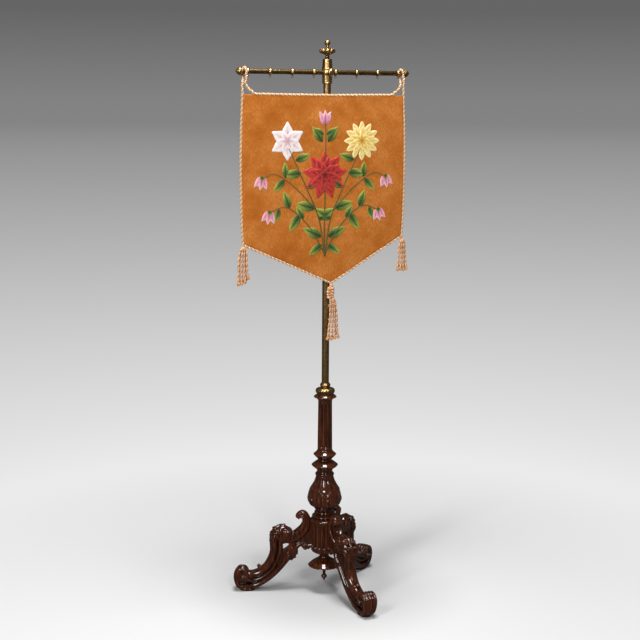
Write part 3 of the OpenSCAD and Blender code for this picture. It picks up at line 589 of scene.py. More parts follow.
def place(mesh: bpy.types.Mesh, finish: Finish, body: str, slot: str, *stands_for: str) -> bpy.types.Object:
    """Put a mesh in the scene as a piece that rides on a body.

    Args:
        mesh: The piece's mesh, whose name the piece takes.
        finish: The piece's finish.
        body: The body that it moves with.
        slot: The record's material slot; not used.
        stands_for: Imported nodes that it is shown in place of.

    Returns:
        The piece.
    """
    piece = bpy.data.objects.new(mesh.name, mesh)
    mesh.materials.clear()
    mesh.materials.append(finish.material())
    bpy.context.scene.collection.objects.link(piece)
    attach(piece, body)
    if stands_for:
        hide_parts(*stands_for)
    log.info("%s rides on %s: %d faces", piece.name, body, len(mesh.polygons))
    return piece


# Stand


@dataclass
class CarvedLegs:
    """Three scroll legs, carved with strands, a leafy knee, a pierced eye and a snail foot."""

    bearing: float = 155.0
    drum: tuple[float, float] = (36.0, 118.0)
    knee: tuple[float, float] = (116.0, 150.0)
    knee_r: float = 26.0
    foot: tuple[float, float] = (217.0, 43.0)
    scroll_r: float = 25.5
    scroll_up: float = 30.0
    foot_half: float = 20.0
    core: float = 0.84
    thick: float = 31.0
    web: float = 17.0
    pad: tuple[float, float] = (21.0, 14.5)
    toe_h: float = 4.0
    grit: float = 1.15
    names: tuple[str, str, str] = ("left", "front", "rear")

    def strand(self, blank: Blank, control: list[tuple[float, ...]], section: np.ndarray, steps: int) -> None:
        """Sweep a section along a strand in the leg's plane.

        Args:
            blank: The leg in the making.
            control: Radius, height, width and thickness at each control point.
            section: Outward and sideways places, in halves of the width and thickness.
            steps: Rings to each stretch.
        """
        path = smooth_route(control, steps)
        along = np.gradient(path[:, :2], axis=0)
        along /= np.linalg.norm(along, axis=1)[:, None]
        u, v = section[:, 0] * path[:, 2:3] / 2, section[:, 1] * path[:, 3:4] / 2
        blank.rings(np.stack([path[:, :1] - along[:, 1:] * u, v, path[:, 1:2] + along[:, :1] * u], -1))

    def lobe(self, blank: Blank, spine: list[tuple[float, ...]], radii: list[float], flat: float = 1.0) -> None:
        """Sweep a leaf lobe or bud through points of radius, side and height."""
        path = smooth_route([(*p, r) for p, r in zip(spine, radii)], 6)
        blank.rings(tube_rings(path[:, :3], path[:, 3], 12, flat))

    def barrel(
        self, blank: Blank, at: tuple[float, float], half: float, radius: float, blunt: float, turn: np.ndarray
    ) -> None:
        """Lay a barrel across the leg.

        Args:
            blank: The leg in the making.
            at: Radius and height of its middle.
            half: Half its length.
            radius: Its greatest radius.
            blunt: Power that rounds its ends, below 1 for blunter ones.
            turn: Angles of its rings, from one end to the other over half a turn.
        """
        still = np.zeros_like(turn)
        core = np.column_stack([still, -np.cos(turn) * half, still]) + (at[0], 0, at[1])
        blank.rings(tube_rings(core, np.sin(turn) ** blunt * radius, 36))

    def near(self, anchor: tuple[float, float], *rows: tuple[float, ...]) -> list[tuple[float, ...]]:
        """Set rows of offset, width and extra thickness against an anchor point."""
        return [(anchor[0] + r, anchor[1] + z, w, self.thick + t) for r, z, w, t in rows]

    def strands(self, blank: Blank) -> None:
        """Lay the three long strands."""
        main = self.near(self.knee, (-22, 2, 18, -7), (-2, 10, 30, -1), (12, -6, 34, 3), (13, -32, 33, 1))
        main += self.near(self.knee, (19, -58, 31, -1))
        main += self.near(self.foot, (-66, 21, 30, -1), (-41, 2, 29, 0), (-16, -4, 30, 1), (0, -2, 26, -1))
        reeds = [(-1, 0.3), (-0.99, 0.62), (-0.86, 0.9), (-0.68, 0.99), (-0.5, 0.88), (-0.38, 0.6), (-0.27, 0.66)]
        reeds += [(-0.12, 0.92), (0.1, 1.02), (0.36, 1), (0.6, 0.88), (0.8, 0.66), (0.95, 0.4), (0.93, 0.14)]
        self.strand(blank, main, mirrored(reeds), 14)
        lower = self.near(self.drum, (-3, 8, 12, -7), (12, 8, 12, -7), (24, 13, 13, -5), (36, 7, 14, -3))
        lower += self.near(self.drum, (46, -7, 16, -1))
        lower += self.near(self.knee, (-21, -55, 17, -1), (-2, -79, 17, -1))
        lower += self.near(self.foot, (-80, 3, 17, -1), (-54, -17, 17, 0), (-29, -29, 16, 0), (5, -30.5, 14, 1))
        self.strand(blank, lower, -squared(18, 0.8), 10)
        upper = self.near(self.knee, (-8, -8, 18, -5), (-30, -4, 25, 3))
        upper += self.near(self.drum, (32, 38, 27, 6), (17, 54, 26, 6), (11, 73, 23, 5), (15, 89, 20, 2))
        upper += self.near(self.drum, (23, 95, 19, 0), (32, 91, 16, -3), (36, 84, 11, -6))
        dished = [(-0.4, 0), (-0.5, 0.35), (-0.8, 0.66), (-1, 0.82), (-0.96, 0.97), (-0.62, 1.02), (-0.3, 0.9)]
        dished += [(-0.1, 0.74), (0.2, 0.8), (0.55, 0.78), (0.9, 0.5), (1, 0.12)]
        self.strand(blank, upper, mirrored(dished), 12)

    def snail(self, blank: Blank) -> None:
        """Lay the scroll foot: a reeded strand that comes up from the sole and winds in over a core."""
        r, z = self.foot[0], self.foot[1] - 3
        turn = np.linspace(0.05, math.pi - 0.05, 20)
        self.barrel(blank, (r - 1, z), self.foot_half * self.core, self.scroll_r * self.core, 0.6, turn)
        # Angle, share of the scroll's radius, width of the strand, and thickness in halves of the foot
        wound = [(285, 0.16, 8, 2.2), (235, 0.26, 9, 2.16), (185, 0.4, 10, 2.1), (140, 0.54, 11, 2.06)]
        wound += [(100, 0.66, 13, 2.02), (60, 0.72, 14, 2), (20, 0.74, 14, 2), (-15, 0.76, 14, 1.96)]
        wound += [(-45, 0.86, 14, 1.9), (-70, 1.0, 13, 1.8), (-95, 1.1, 11, 1.7)]
        rows = []
        for angle, share, width, across in wound:
            a = math.radians(angle)
            out, up = share * self.scroll_r * math.cos(a), share * self.scroll_up * math.sin(a)
            rows.append((r + out, z + up, width, across * self.foot_half))
        reeded = [(-1, 0.3), (-1, 0.72), (-0.75, 0.93), (-0.2, 1), (0.35, 0.97), (0.72, 0.86), (0.78, 0.72)]
        reeded += [(0.3, 0.62), (0.84, 0.5), (0.92, 0.38), (0.82, 0.27), (0.38, 0.2), (0.88, 0.1), (0.97, 0)]
        self.strand(blank, rows, mirrored(reeded), 12)

    def panel(self, blank: Blank) -> None:
        """Lay the sunk panel between the strands, with its pierced eye."""
        # Offsets of the panel's edge from drum, knee or foot, once round
        runs = [(self.drum, [(-4, 6), (12, 8), (24, 13), (36, 7), (46, -7)]), (self.knee, [(-21, -55), (-2, -79)])]
        runs += [(self.foot, [(-80, 3), (-54, -17), (-29, -29), (-16, -4), (-41, 2), (-66, 21)])]
        runs += [(self.knee, [(19, -58), (13, -32), (12, -6), (-2, 8), (-30, -2)])]
        runs += [(self.drum, [(30, 40), (16, 55), (12, 74), (-4, 72)])]
        eye = [(self.knee, [(-5, -19), (-14, -17), (-23, -19), (-20, -27), (-6, -38)])]
        loops = [[Vector((at[0] + r, at[1] + z, 0)) for at, offs in loop for r, z in offs] for loop in (runs, eye)]
        flat = np.array([(p.x, 0, p.y) for loop in loops for p in loop])
        side = np.array([0, self.web / 2, 0])
        first = blank.take(np.concatenate([flat - side, flat + side]), {})
        n = len(flat)
        for a, b, c in tessellate_polygon(loops):
            blank.faces.append((first + a, first + b, first + c))
            blank.faces.append((first + n + c, first + n + b, first + n + a))
        for loop in loops:
            for i in range(len(loop)):
                a, b = first + i, first + (i + 1) % len(loop)
                blank.faces.append((a, b, b + n, a + n))
            first += len(loop)

    def cheek(self, blank: Blank, side: int) -> None:
        """Lay the knee's leaves and boss and the bracket's leaves at one side of the leg."""
        kr, kz = self.knee
        r, z = self.drum
        half = self.thick / 2
        # Leaf lobes fold from the cheek round to the spine
        for angle, reach in ((74, 27), (42, 29), (12, 29), (-20, 30), (-44, 36)):
            a, b = math.radians(angle + 20), math.radians(angle)
            start = (kr + 5 * math.cos(a), side * half, kz + 6 + 5 * math.sin(a))
            swell = (kr + 0.6 * reach * math.cos(a), side * half, kz + 3 + 0.6 * reach * math.sin(a))
            edge = (kr + reach * math.cos(b), side * half * 0.48, kz + reach * math.sin(b))
            self.lobe(blank, [start, swell, edge], [3.4, 6.2, 5], 0.75)
        # Round boss where the strand's head curls in
        boss = [(kr - 17, side * y, kz + 9) for y in (2, half, half + 4, half + 6.5)]
        self.lobe(blank, boss, [14.5, 13.5, 10, 3])
        # Leaves under the bracket
        for out, up, size in ((53, -25, 7.0), (45, -20, 6.0), (40, -10, 6.0), (16, 3, 5.5), (8, 5, 4.5)):
            bend = ((9, 6, 11), (3, 9, 4), (-2, 7, -3), (-3, 4, -6))
            tip = [(r + out + a, side * y, z + up + b) for a, y, b in bend]
            self.lobe(blank, tip, [size * 0.7, size, size * 0.8, 1.6])

    def ornament(self, blank: Blank) -> None:
        """Lay the knee with its leaves, the bracket's leaves, the bud and the snail's eye."""
        kr, kz = self.knee
        fr, fz = self.foot
        half = self.thick / 2
        turn = np.linspace(0.02, math.pi - 0.02, 22)
        self.barrel(blank, (kr - 5, kz + 5), half * 1.04, self.knee_r, 0.8, turn)
        # Leaf tip, and a rib over the knee's spine
        spine = [(kr + a, 0, kz + b) for a, b in ((-12, 33), (3, 29), (17, 19), (25, 4), (26, -14), (27, -36))]
        self.lobe(blank, spine, [2.4, 4.6, 5, 4.8, 4.4, 2.4])
        for side in (-1, 1):
            self.cheek(blank, side)
        bud = [(fr + a, 0, fz + b) for a, b in ((-46, 8), (-44, 17), (-43, 21), (-42.5, 26), (-42.5, 30))]
        self.lobe(blank, bud, [6, 3, 5, 5.2, 1.8])
        eye = [(fr, y, fz - 4) for y in (-half - 8, -half - 5.5, 0, half + 5.5, half + 8)]
        self.lobe(blank, eye, [2.2, 5.5, 6.5, 5.5, 2.2])

    def carved(self) -> bpy.types.Mesh:
        """Fuse the leg's forms into one carved surface, along +X."""
        blank = Blank()
        self.strands(blank)
        self.snail(blank)
        self.panel(blank)
        self.ornament(blank)
        rough = bpy.data.objects.new("leg_rough", blank.mesh("leg_rough"))
        bpy.context.scene.collection.objects.link(rough)
        fused = rough.modifiers.new("fuse", "REMESH")
        fused.mode = "VOXEL"
        fused.voxel_size = self.grit * MM
        sanded = rough.modifiers.new("sand", "SMOOTH")
        sanded.factor = 0.5
        sanded.iterations = 2
        ready = rough.evaluated_get(bpy.context.evaluated_depsgraph_get())
        mesh = bpy.data.meshes.new_from_object(ready)
        bpy.data.objects.remove(rough)
        places = np.zeros(len(mesh.vertices) * 3)
        mesh.vertices.foreach_get("co", places)
        places[2::3] = np.maximum(places[2::3], self.toe_h * MM)
        mesh.vertices.foreach_set("co", places)
        mesh.shade_smooth()
        return mesh

    def pads(self) -> Blank:
        """Turn the low pads under the feet."""
        # Height, and share of the pad's length and width there
        levels = ((0.0, 0.9), (0.8, 0.97), (2.5, 1.0), (5.0, 0.97), (7.5, 0.86), (9.5, 0.66), (11.0, 0.4))
        shape = squared(32, 0.85)
        blank = Blank()
        for k in range(3):
            a = math.radians(self.bearing + 120 * k)
            out, side = np.array([math.cos(a), math.sin(a), 0]), np.array([-math.sin(a), math.cos(a), 0])
            rim = self.pad[0] * shape[:, :1] * out + self.pad[1] * shape[:, 1:] * side
            blank.rings(np.array([out * (self.foot[0] - 11) + (0, 0, h) + s * rim for h, s in levels]))
        return blank

    def build(self) -> None:
        """Carve one leg and set it on the hub three times, each on its toe pad."""
        mesh = self.carved()
        for k, name in enumerate(self.names):
            leg = mesh.copy()
            leg.name = f"leg_{name}_carved"
            piece = place(leg, LEG_WALNUT, "stand", "walnut", f"leg_{name}")
            piece.rotation_euler.z = math.radians(self.bearing + 120 * k)
        bpy.data.meshes.remove(mesh)
        place(self.pads().mesh("toe_pads"), WALNUT, "stand", "walnut", "toe_blocks")


@dataclass
class TurnedPieces:
    """The fluted column, the saucer under the hub and the gadrooned brass nut, with crisp edges."""

    column_z: float = 319.0
    rings_h: float = 71.0
    shaft: tuple[float, float] = (19.4, 18.2)
    shaft_h: float = 130.0
    flutes: int = 10
    flute_depth: float = 3.2
    flute_end: float = 5.0
    socket_r: float = 11.07
    disc_z: float = 66.0
    stud_r: float = 3.05
    nut_z: float = 541.05
    nut_h: float = 15.0
    gadroons: int = 14
    gadroon_depth: float = 1.2
    around: int = 240
    crease: float = 38.0

    def finished(self, mesh: bpy.types.Mesh, node: str, finish: Finish, body: str, slot: str) -> None:
        """Keep a turned piece's edges crisp and put it in place of its node."""
        mesh.set_sharp_from_angle(angle=math.radians(self.crease))
        place(mesh, finish, body, slot, node)

    def column(self) -> None:
        """Turn the column: bead, two sharp rings, fluted shaft and capital."""
        bead = [(22.3, 0), (24, 1.2), (24.8, 3), (25, 4.6), (24.6, 6.3), (23.4, 8), (21.4, 9), (20.4, 10.5), (20.4, 16)]
        low = [(21, 17), (24, 19.4), (29, 23.2), (33.2, 26.8), (34.5, 28.4), (34.9, 29.4), (34.5, 30.4), (33, 31.6)]
        low += [(30.4, 33.8), (26.4, 37), (22, 40), (18.6, 42), (18, 43.2), (18, 44.6)]
        high = [(18.6, 45.4), (21.6, 48.8), (25.8, 53), (28.8, 56.4), (29.8, 57.8), (30.1, 58.6), (29.7, 59.5)]
        high += [(28.2, 60.6), (25.4, 62.8), (22.6, 65.6), (20.3, 68.8), (self.shaft[0], self.rings_h)]
        top = self.rings_h + self.shaft_h
        slim = self.shaft[1] - self.shaft[0]
        shaft = [(self.shaft[0] + slim * k, self.rings_h + self.shaft_h * k) for k in np.linspace(0.01, 1, 66)]
        capital = [(18.6, 2.5), (19.8, 5), (22, 7.2), (25.4, 9.2), (28.8, 10.6), (29.8, 11.4), (30, 12.3), (29.6, 13.2)]
        capital += [(27.6, 15), (24.6, 17.4), (22.4, 19), (self.socket_r, 19)]
        outline = np.array([*bead, *low, *high, *shaft, *[(r, top + z) for r, z in capital], (self.socket_r, 0)])
        # Flutes stop short of the shaft's ends in a round
        end = self.flute_end
        into = np.minimum(outline[:, 1:] - self.rings_h - end, top - end - outline[:, 1:]) / end
        ends = np.sqrt(1 - (1 - np.clip(into, 0, 1)) ** 2)
        wave = np.cos(angles(self.around) * self.flutes)
        carve = self.flute_depth * ends * np.clip((wave + 0.55) / 1.55, 0, 1)[None, :] ** 0.6
        mesh = lathe(outline, self.column_z, carve, self.around).mesh("column_turned")
        self.finished(mesh, "column", WALNUT, "stand", "walnut")

    def saucer(self) -> None:
        """Turn the thin saucer under the hub."""
        rim = [(9, 0), (22, 0.6), (34, 2.2), (40.4, 3.8), (42.4, 5.2), (42.8, 6.2), (42.2, 7.4), (40, 8.8)]
        bell = [(37, 12.2), (31.4, 16.8), (25, 21), (19, 24.6), (14.8, 27.8), (13.2, 31.2), (12.9, 34.4), (14, 37.4)]
        outline = np.array([*rim, *smooth_route([*bell, (17, 40)], 4), (self.stud_r, 40), (self.stud_r, 0)])
        mesh = lathe(outline, self.disc_z, np.zeros((len(outline), self.around)), self.around).mesh("pendant_saucer")
        self.finished(mesh, "pendant_disc", WALNUT, "stand", "walnut")

    def nut(self) -> None:
        """Turn the brass nut: a flattened gadrooned bulb with a small ring on top."""
        bulb = [(20.5, 0), (23.4, 1.5), (25.1, 4.2), (25.6, 7.4), (24.8, 10.4), (22.4, 13), (18.4, 14.8), (14.4, 15.6)]
        ring = [(12.3, 16.4), (11.7, 17.8), (12.6, 19.2), (13.6, 20.8)]
        ring += [(13.9, 22.6), (13.3, 24.4), (12, 26), (10.8, 28)]
        bore = [(9.65, 28), (9.65, 13.06), (10.85, 13.05), (14.15, 8.9), (14.15, 0)]
        outline = np.array([*smooth_route(bulb, 3), *smooth_route(ring, 3), *bore])
        held = np.sin(np.clip(outline[:, 1:] / self.nut_h, 0, 1) * math.pi) * (outline[:, :1] > 15)
        lobes = np.abs(np.sin(angles(self.around) * self.gadroons / 2))
        carve = self.gadroon_depth * held * (1 - lobes[None, :] ** 0.6)
        mesh = lathe(outline, self.nut_z, carve, self.around).mesh("lock_nut_gadrooned")
        self.finished(mesh, "lock_nut", AGED_BRASS, "lock_nut", "aged_brass")

    def build(self) -> None:
        """Turn the three pieces."""
        self.column()
        self.saucer()
        self.nut()


@dataclass
class CarvedBaluster:
    """The bulb over the hub: leaves round its foot, channels from their tips up to its neck."""

    foot_z: float = 228.0
    height: float = 91.0
    bulb_r: float = 46.0
    foot_r: float = 29.5
    neck_r: float = 23.0
    socket_r: float = 11.07
    leaves: int = 8
    leaf_depth: float = 2.4
    channels: int = 16
    channel_depth: float = 1.3
    around: int = 320

    def turned(self) -> np.ndarray:
        """Give the turned outline as rows of radius and height."""
        h, b, n = self.height, self.bulb_r, self.neck_r
        t = np.linspace(0, math.pi, 12)
        ring = np.column_stack([self.foot_r - 4 + 2 * np.sin(t), h * 0.07 * t / math.pi])
        bulb = [(self.foot_r - 2, 0.07), (b * 0.74, 0.095), (b * 0.86, 0.14), (b * 0.95, 0.21), (b * 0.995, 0.3)]
        bulb += [(b, 0.37), (b * 0.955, 0.5), (b * 0.86, 0.62), (n * 1.42, 0.74), (n * 1.15, 0.87), (n, 1.0)]
        outside = even_route(np.vstack([ring, smooth_route([(r, h * z) for r, z in bulb], 12)]), 0.9)
        return np.vstack([outside, [(self.socket_r, h), (self.socket_r, 0)]])

    def relief(self, share: np.ndarray, angle: np.ndarray) -> np.ndarray:
        """Give the depth of carving.

        Args:
            share: Height as a share of the bulb's.
            angle: Angle round the bulb.

        Returns:
            Millimetres carved off the turned outline.
        """
        sector = TURN / self.leaves
        off = np.abs((angle + sector / 2) % sector - sector / 2) / (sector / 2)
        grow = np.clip((share - 0.08) / 0.5, 0, 1)
        # A pointed arch, pinched under a curl at each side
        arch = 0.95 * np.sqrt(1 - grow**2.4) * (1 - 0.22 * np.exp(-(((grow - 0.62) / 0.1) ** 2)))
        leaf = 1 / (1 + np.exp((off - arch) * 24))
        rim = np.exp(-(((off - arch * 0.9) / 0.13) ** 2))
        curl = np.exp(-(((off - 0.66) / 0.17) ** 2) - ((grow - 0.46) / 0.11) ** 2)
        boss = np.sqrt(np.clip(1 - (off / 0.46) ** 2 - ((grow - 0.05) / 0.5) ** 2, 0, 1))
        raised = leaf * np.clip(0.25 + 0.6 * rim + 0.85 * curl + 0.9 * boss, 0, 1.2)
        band = np.clip((share - 0.1) / 0.1, 0, 1) * np.clip((0.6 - share) / 0.06, 0, 1)
        rise = np.clip((share - 0.5) / 0.1, 0, 1) * np.clip((0.985 - share) / 0.04, 0, 1)
        channel = self.channel_depth * rise * np.abs(np.sin(angle * self.channels / 2))
        return self.leaf_depth * band * (1 - raised / 1.2) + channel * (1 - leaf * band)

    def build(self) -> None:
        """Carve the bulb and stand it on the hub."""
        outline = self.turned()
        carve = self.relief(outline[:, 1:] / self.height, angles(self.around)[None, :])
        carve *= outline[:, :1] > self.socket_r + 1
        mesh = lathe(outline, self.foot_z, carve, self.around).mesh("baluster_carved")
        place(mesh, WALNUT, "stand", "walnut", "baluster")


@dataclass
class FittedNodes:
    """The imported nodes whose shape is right, each under its own finish."""

    finishes: dict[str, Finish] = field(
        default_factory=lambda: {
            **dict.fromkeys(("hub", "pendant_drop"), WALNUT),
            **dict.fromkeys(("socket_tube", "ferrule", "collet", "pole_tube", "pivot_plug"), AGED_BRASS),
            **dict.fromkeys(("head_cap", "finial", "thumb_screw", "bar_end_left", "bar_end_right"), AGED_BRASS),
            **dict.fromkeys(("bar_rod", "bar_eyes"), DARK_BRASS),
            **dict.fromkeys(("head_tee", "bar_knops"), BRIGHT_BRASS),
        }
    )

    def build(self) -> None:
        """Give each node its finish."""
        for name, finish in self.finishes.items():
            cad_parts[name].material_slots[0].material = finish.material()
            log.info("%s keeps its packed shape in %s", name, finish.name)


# Banner


@dataclass
class Banner:
    """The velvet banner with its lining, hung by corner loops of its own edge cord."""

    left: float = -236.0
    right: float = 212.0
    top: float = 1316.0
    left_corner: float = 942.0
    right_corner: float = 950.0
    point: tuple[float, float] = (8.0, 834.0)
    sag: float = 3.0
    bow: float = 5.0
    plane: float = -13.3
    cord_r: float = 3.5
    thick: float = 2.8
    lining: float = 0.7
    columns: int = 110
    rows: int = 120
    bar_z: float = 1370.0
    bar_shift: float = -7.0
    loop_x: float = 217.9
    loop_r: float = 9.8
    corner_run: float = 36.0
    pitch: float = 11.5

    def bulge(self, s: np.ndarray, t: np.ndarray) -> np.ndarray:
        """Give how far the cloth stands out to the front, at shares of the width and of the height from the top."""
        held = (4 * s * (1 - s)) ** 0.5 * np.clip(t * 9, 0, 1) * np.clip((1 - t) * 9, 0, 1)
        folds = 0.5 + 0.5 * np.cos(TURN * (s * 2.2 + 0.18 * np.sin(3 * t)))
        return held * (0.9 + 0.9 * folds * (0.3 + 0.7 * t))

    def edges(self, s: np.ndarray) -> tuple[np.ndarray, np.ndarray]:
        """Give the heights of the top edge and of the pointed bottom edge, at shares of the width."""
        middle = (self.point[0] - self.left) / (self.right - self.left)
        from_left = self.left_corner + (self.point[1] - self.left_corner) * s / middle
        from_right = self.right_corner + (self.point[1] - self.right_corner) * (1 - s) / (1 - middle)
        return self.top - self.sag * 4 * s * (1 - s), np.where(s < middle, from_left, from_right)

    def outline_at(self, s: np.ndarray, t: np.ndarray, inset: float) -> tuple[np.ndarray, np.ndarray]:
        """Map shares of width and height to X and Z inside the cord."""
        swell = self.bow * 4 * t * (1 - t)
        x = (self.left - swell + inset) * (1 - s) + (self.right + swell - inset) * s
        upper, lower = self.edges(s)
        return x, (upper - inset) * (1 - t) + (lower + inset * 1.1) * t

    def front_at(self, x: np.ndarray, z: np.ndarray) -> np.ndarray:
        """Give the velvet's front face at points of X and Z, as Y."""
        s = (np.asarray(x, float) - self.left) / (self.right - self.left)
        upper, lower = self.edges(s)
        return self.plane - self.thick / 2 - self.bulge(s, (upper - z) / (upper - lower))

    def cloth(self) -> tuple[bpy.types.Object, bpy.types.Object]:
        """Cut the velvet, with its interlining, and the lining behind it."""
        s, t = np.meshgrid(np.linspace(0, 1, self.columns), np.linspace(0, 1, self.rows))
        x, z = self.outline_at(s, t, self.cord_r * 0.6)
        front = self.plane - self.thick / 2 - self.bulge(s, t)
        inner = front + self.thick - self.lining
        velvet, lining = Blank(), Blank()
        velvet.pad(np.stack([x, front, z], -1), np.stack([x, inner, z], -1))
        lining.pad(np.stack([x, inner + 0.05, z], -1), np.stack([x, inner + self.lining, z], -1))
        face = place(velvet.mesh("banner_velvet"), VELVET, "banner", "velvet", "velvet_face", "interlining")
        back = place(lining.mesh("banner_lining"), LINING, "banner", "lining", "back_lining")
        return face, back

    def loop(self, side: int) -> list[tuple[float, float, float]]:
        """Route one corner loop from the side edge over the bar to the top edge.

        The leg at the left goes up behind the bar, and the leg at the right comes down its front.

        Args:
            side: -1 at the left, 1 at the right.

        Returns:
            Control points from the corner to the top edge.
        """
        lean = side * (self.left if side < 0 else self.right) - side * self.bar_shift - self.loop_x
        drop = self.bar_z - self.top
        pair = 2 * self.cord_r + 0.6
        # Legs from the bar down: share of the drop, towards the back, share of the way outward
        front = [(0.22, 1.6, 0.1), (0.36, 0.4, 0.45), (0.51, 0.0, 0.85)]
        back = [(0.17, 20.2, 0.0), (0.27, 14.3, 0.15), (0.38, 7.8, 0.5), (0.51, 2.5, 0.85)]
        outer, inner = (front, back) if side > 0 else (back, front)
        route = [(lean, 0, self.top + 0.4), (lean, 0, self.top + drop * 0.28)]
        route += [(1.4 + (lean - 1.4) * w, y, self.bar_z - drop * d) for d, y, w in reversed(outer)]
        for angle in (200, 165, 130, 95, 60, 25, -10)[::side]:
            a = math.radians(angle)
            over = (self.loop_r * math.cos(a) - self.plane, self.bar_z + self.loop_r * math.sin(a))
            route.append((side * (angle - 95) / 78, *over))
        route += [((lean - pair + 1.4) * w - 1.4, y, self.bar_z - drop * d) for d, y, w in inner]
        for run, rise in ((0.28, 0.38), (0.46, 0.21), (0.72, 0.085)):
            route.append((lean - self.corner_run * run, 0, self.top + drop * rise))
        return [(self.bar_shift + side * (self.loop_x + x), self.plane + y, z) for x, y, z in route]

    def edging(self) -> bpy.types.Object:
        """Lay the twisted cord round the edge and through both loops, from the point and back to it."""
        y = self.plane
        share = np.linspace(0, 1, 9)[1:-1]
        bowed = self.bow * 4 * share * (1 - share)
        up = [(self.left - b, y, self.left_corner + (self.top - self.left_corner) * k) for k, b in zip(share, bowed)]
        down = [(self.right + b, y, self.top + (self.right_corner - self.top) * k) for k, b in zip(share, bowed)]
        free = self.corner_run / (self.right - self.left)
        across = []
        for k in np.linspace(free, 1 - free, 9):
            across.append((self.left + (self.right - self.left) * k, y, float(self.edges(k)[0])))
        px, pz = self.point
        slants = []
        for x, z in ((self.left, self.left_corner), (self.right, self.right_corner)):
            slants.append([(px + (x - px) * k, y, pz + (z - pz) * k) for k in (0, 0.25, 0.5, 0.75, 0.97)])
        route = slants[0] + [(self.left, y, self.left_corner + 8)] + up + self.loop(-1)
        route += across + self.loop(1)[::-1] + down + [(self.right, y, self.right_corner + 8)] + slants[1][::-1]
        even = even_route(smooth_route(route, 10), self.pitch / 12)
        rings, ply = rope_rings(even, np.full(len(even), self.cord_r), self.pitch, 14)
        blank = Blank()
        blank.rings(rings, ply=ply)
        return place(blank.mesh("edge_rope"), CORD, "banner", "twisted_cord", "edge_cord", "loop_left", "loop_right")

    def build(self, posy: "Posy", tassels: "Tassels") -> None:
        face, back = self.cloth()
        trim = [self.edging(), *posy.build(), *tassels.build()]


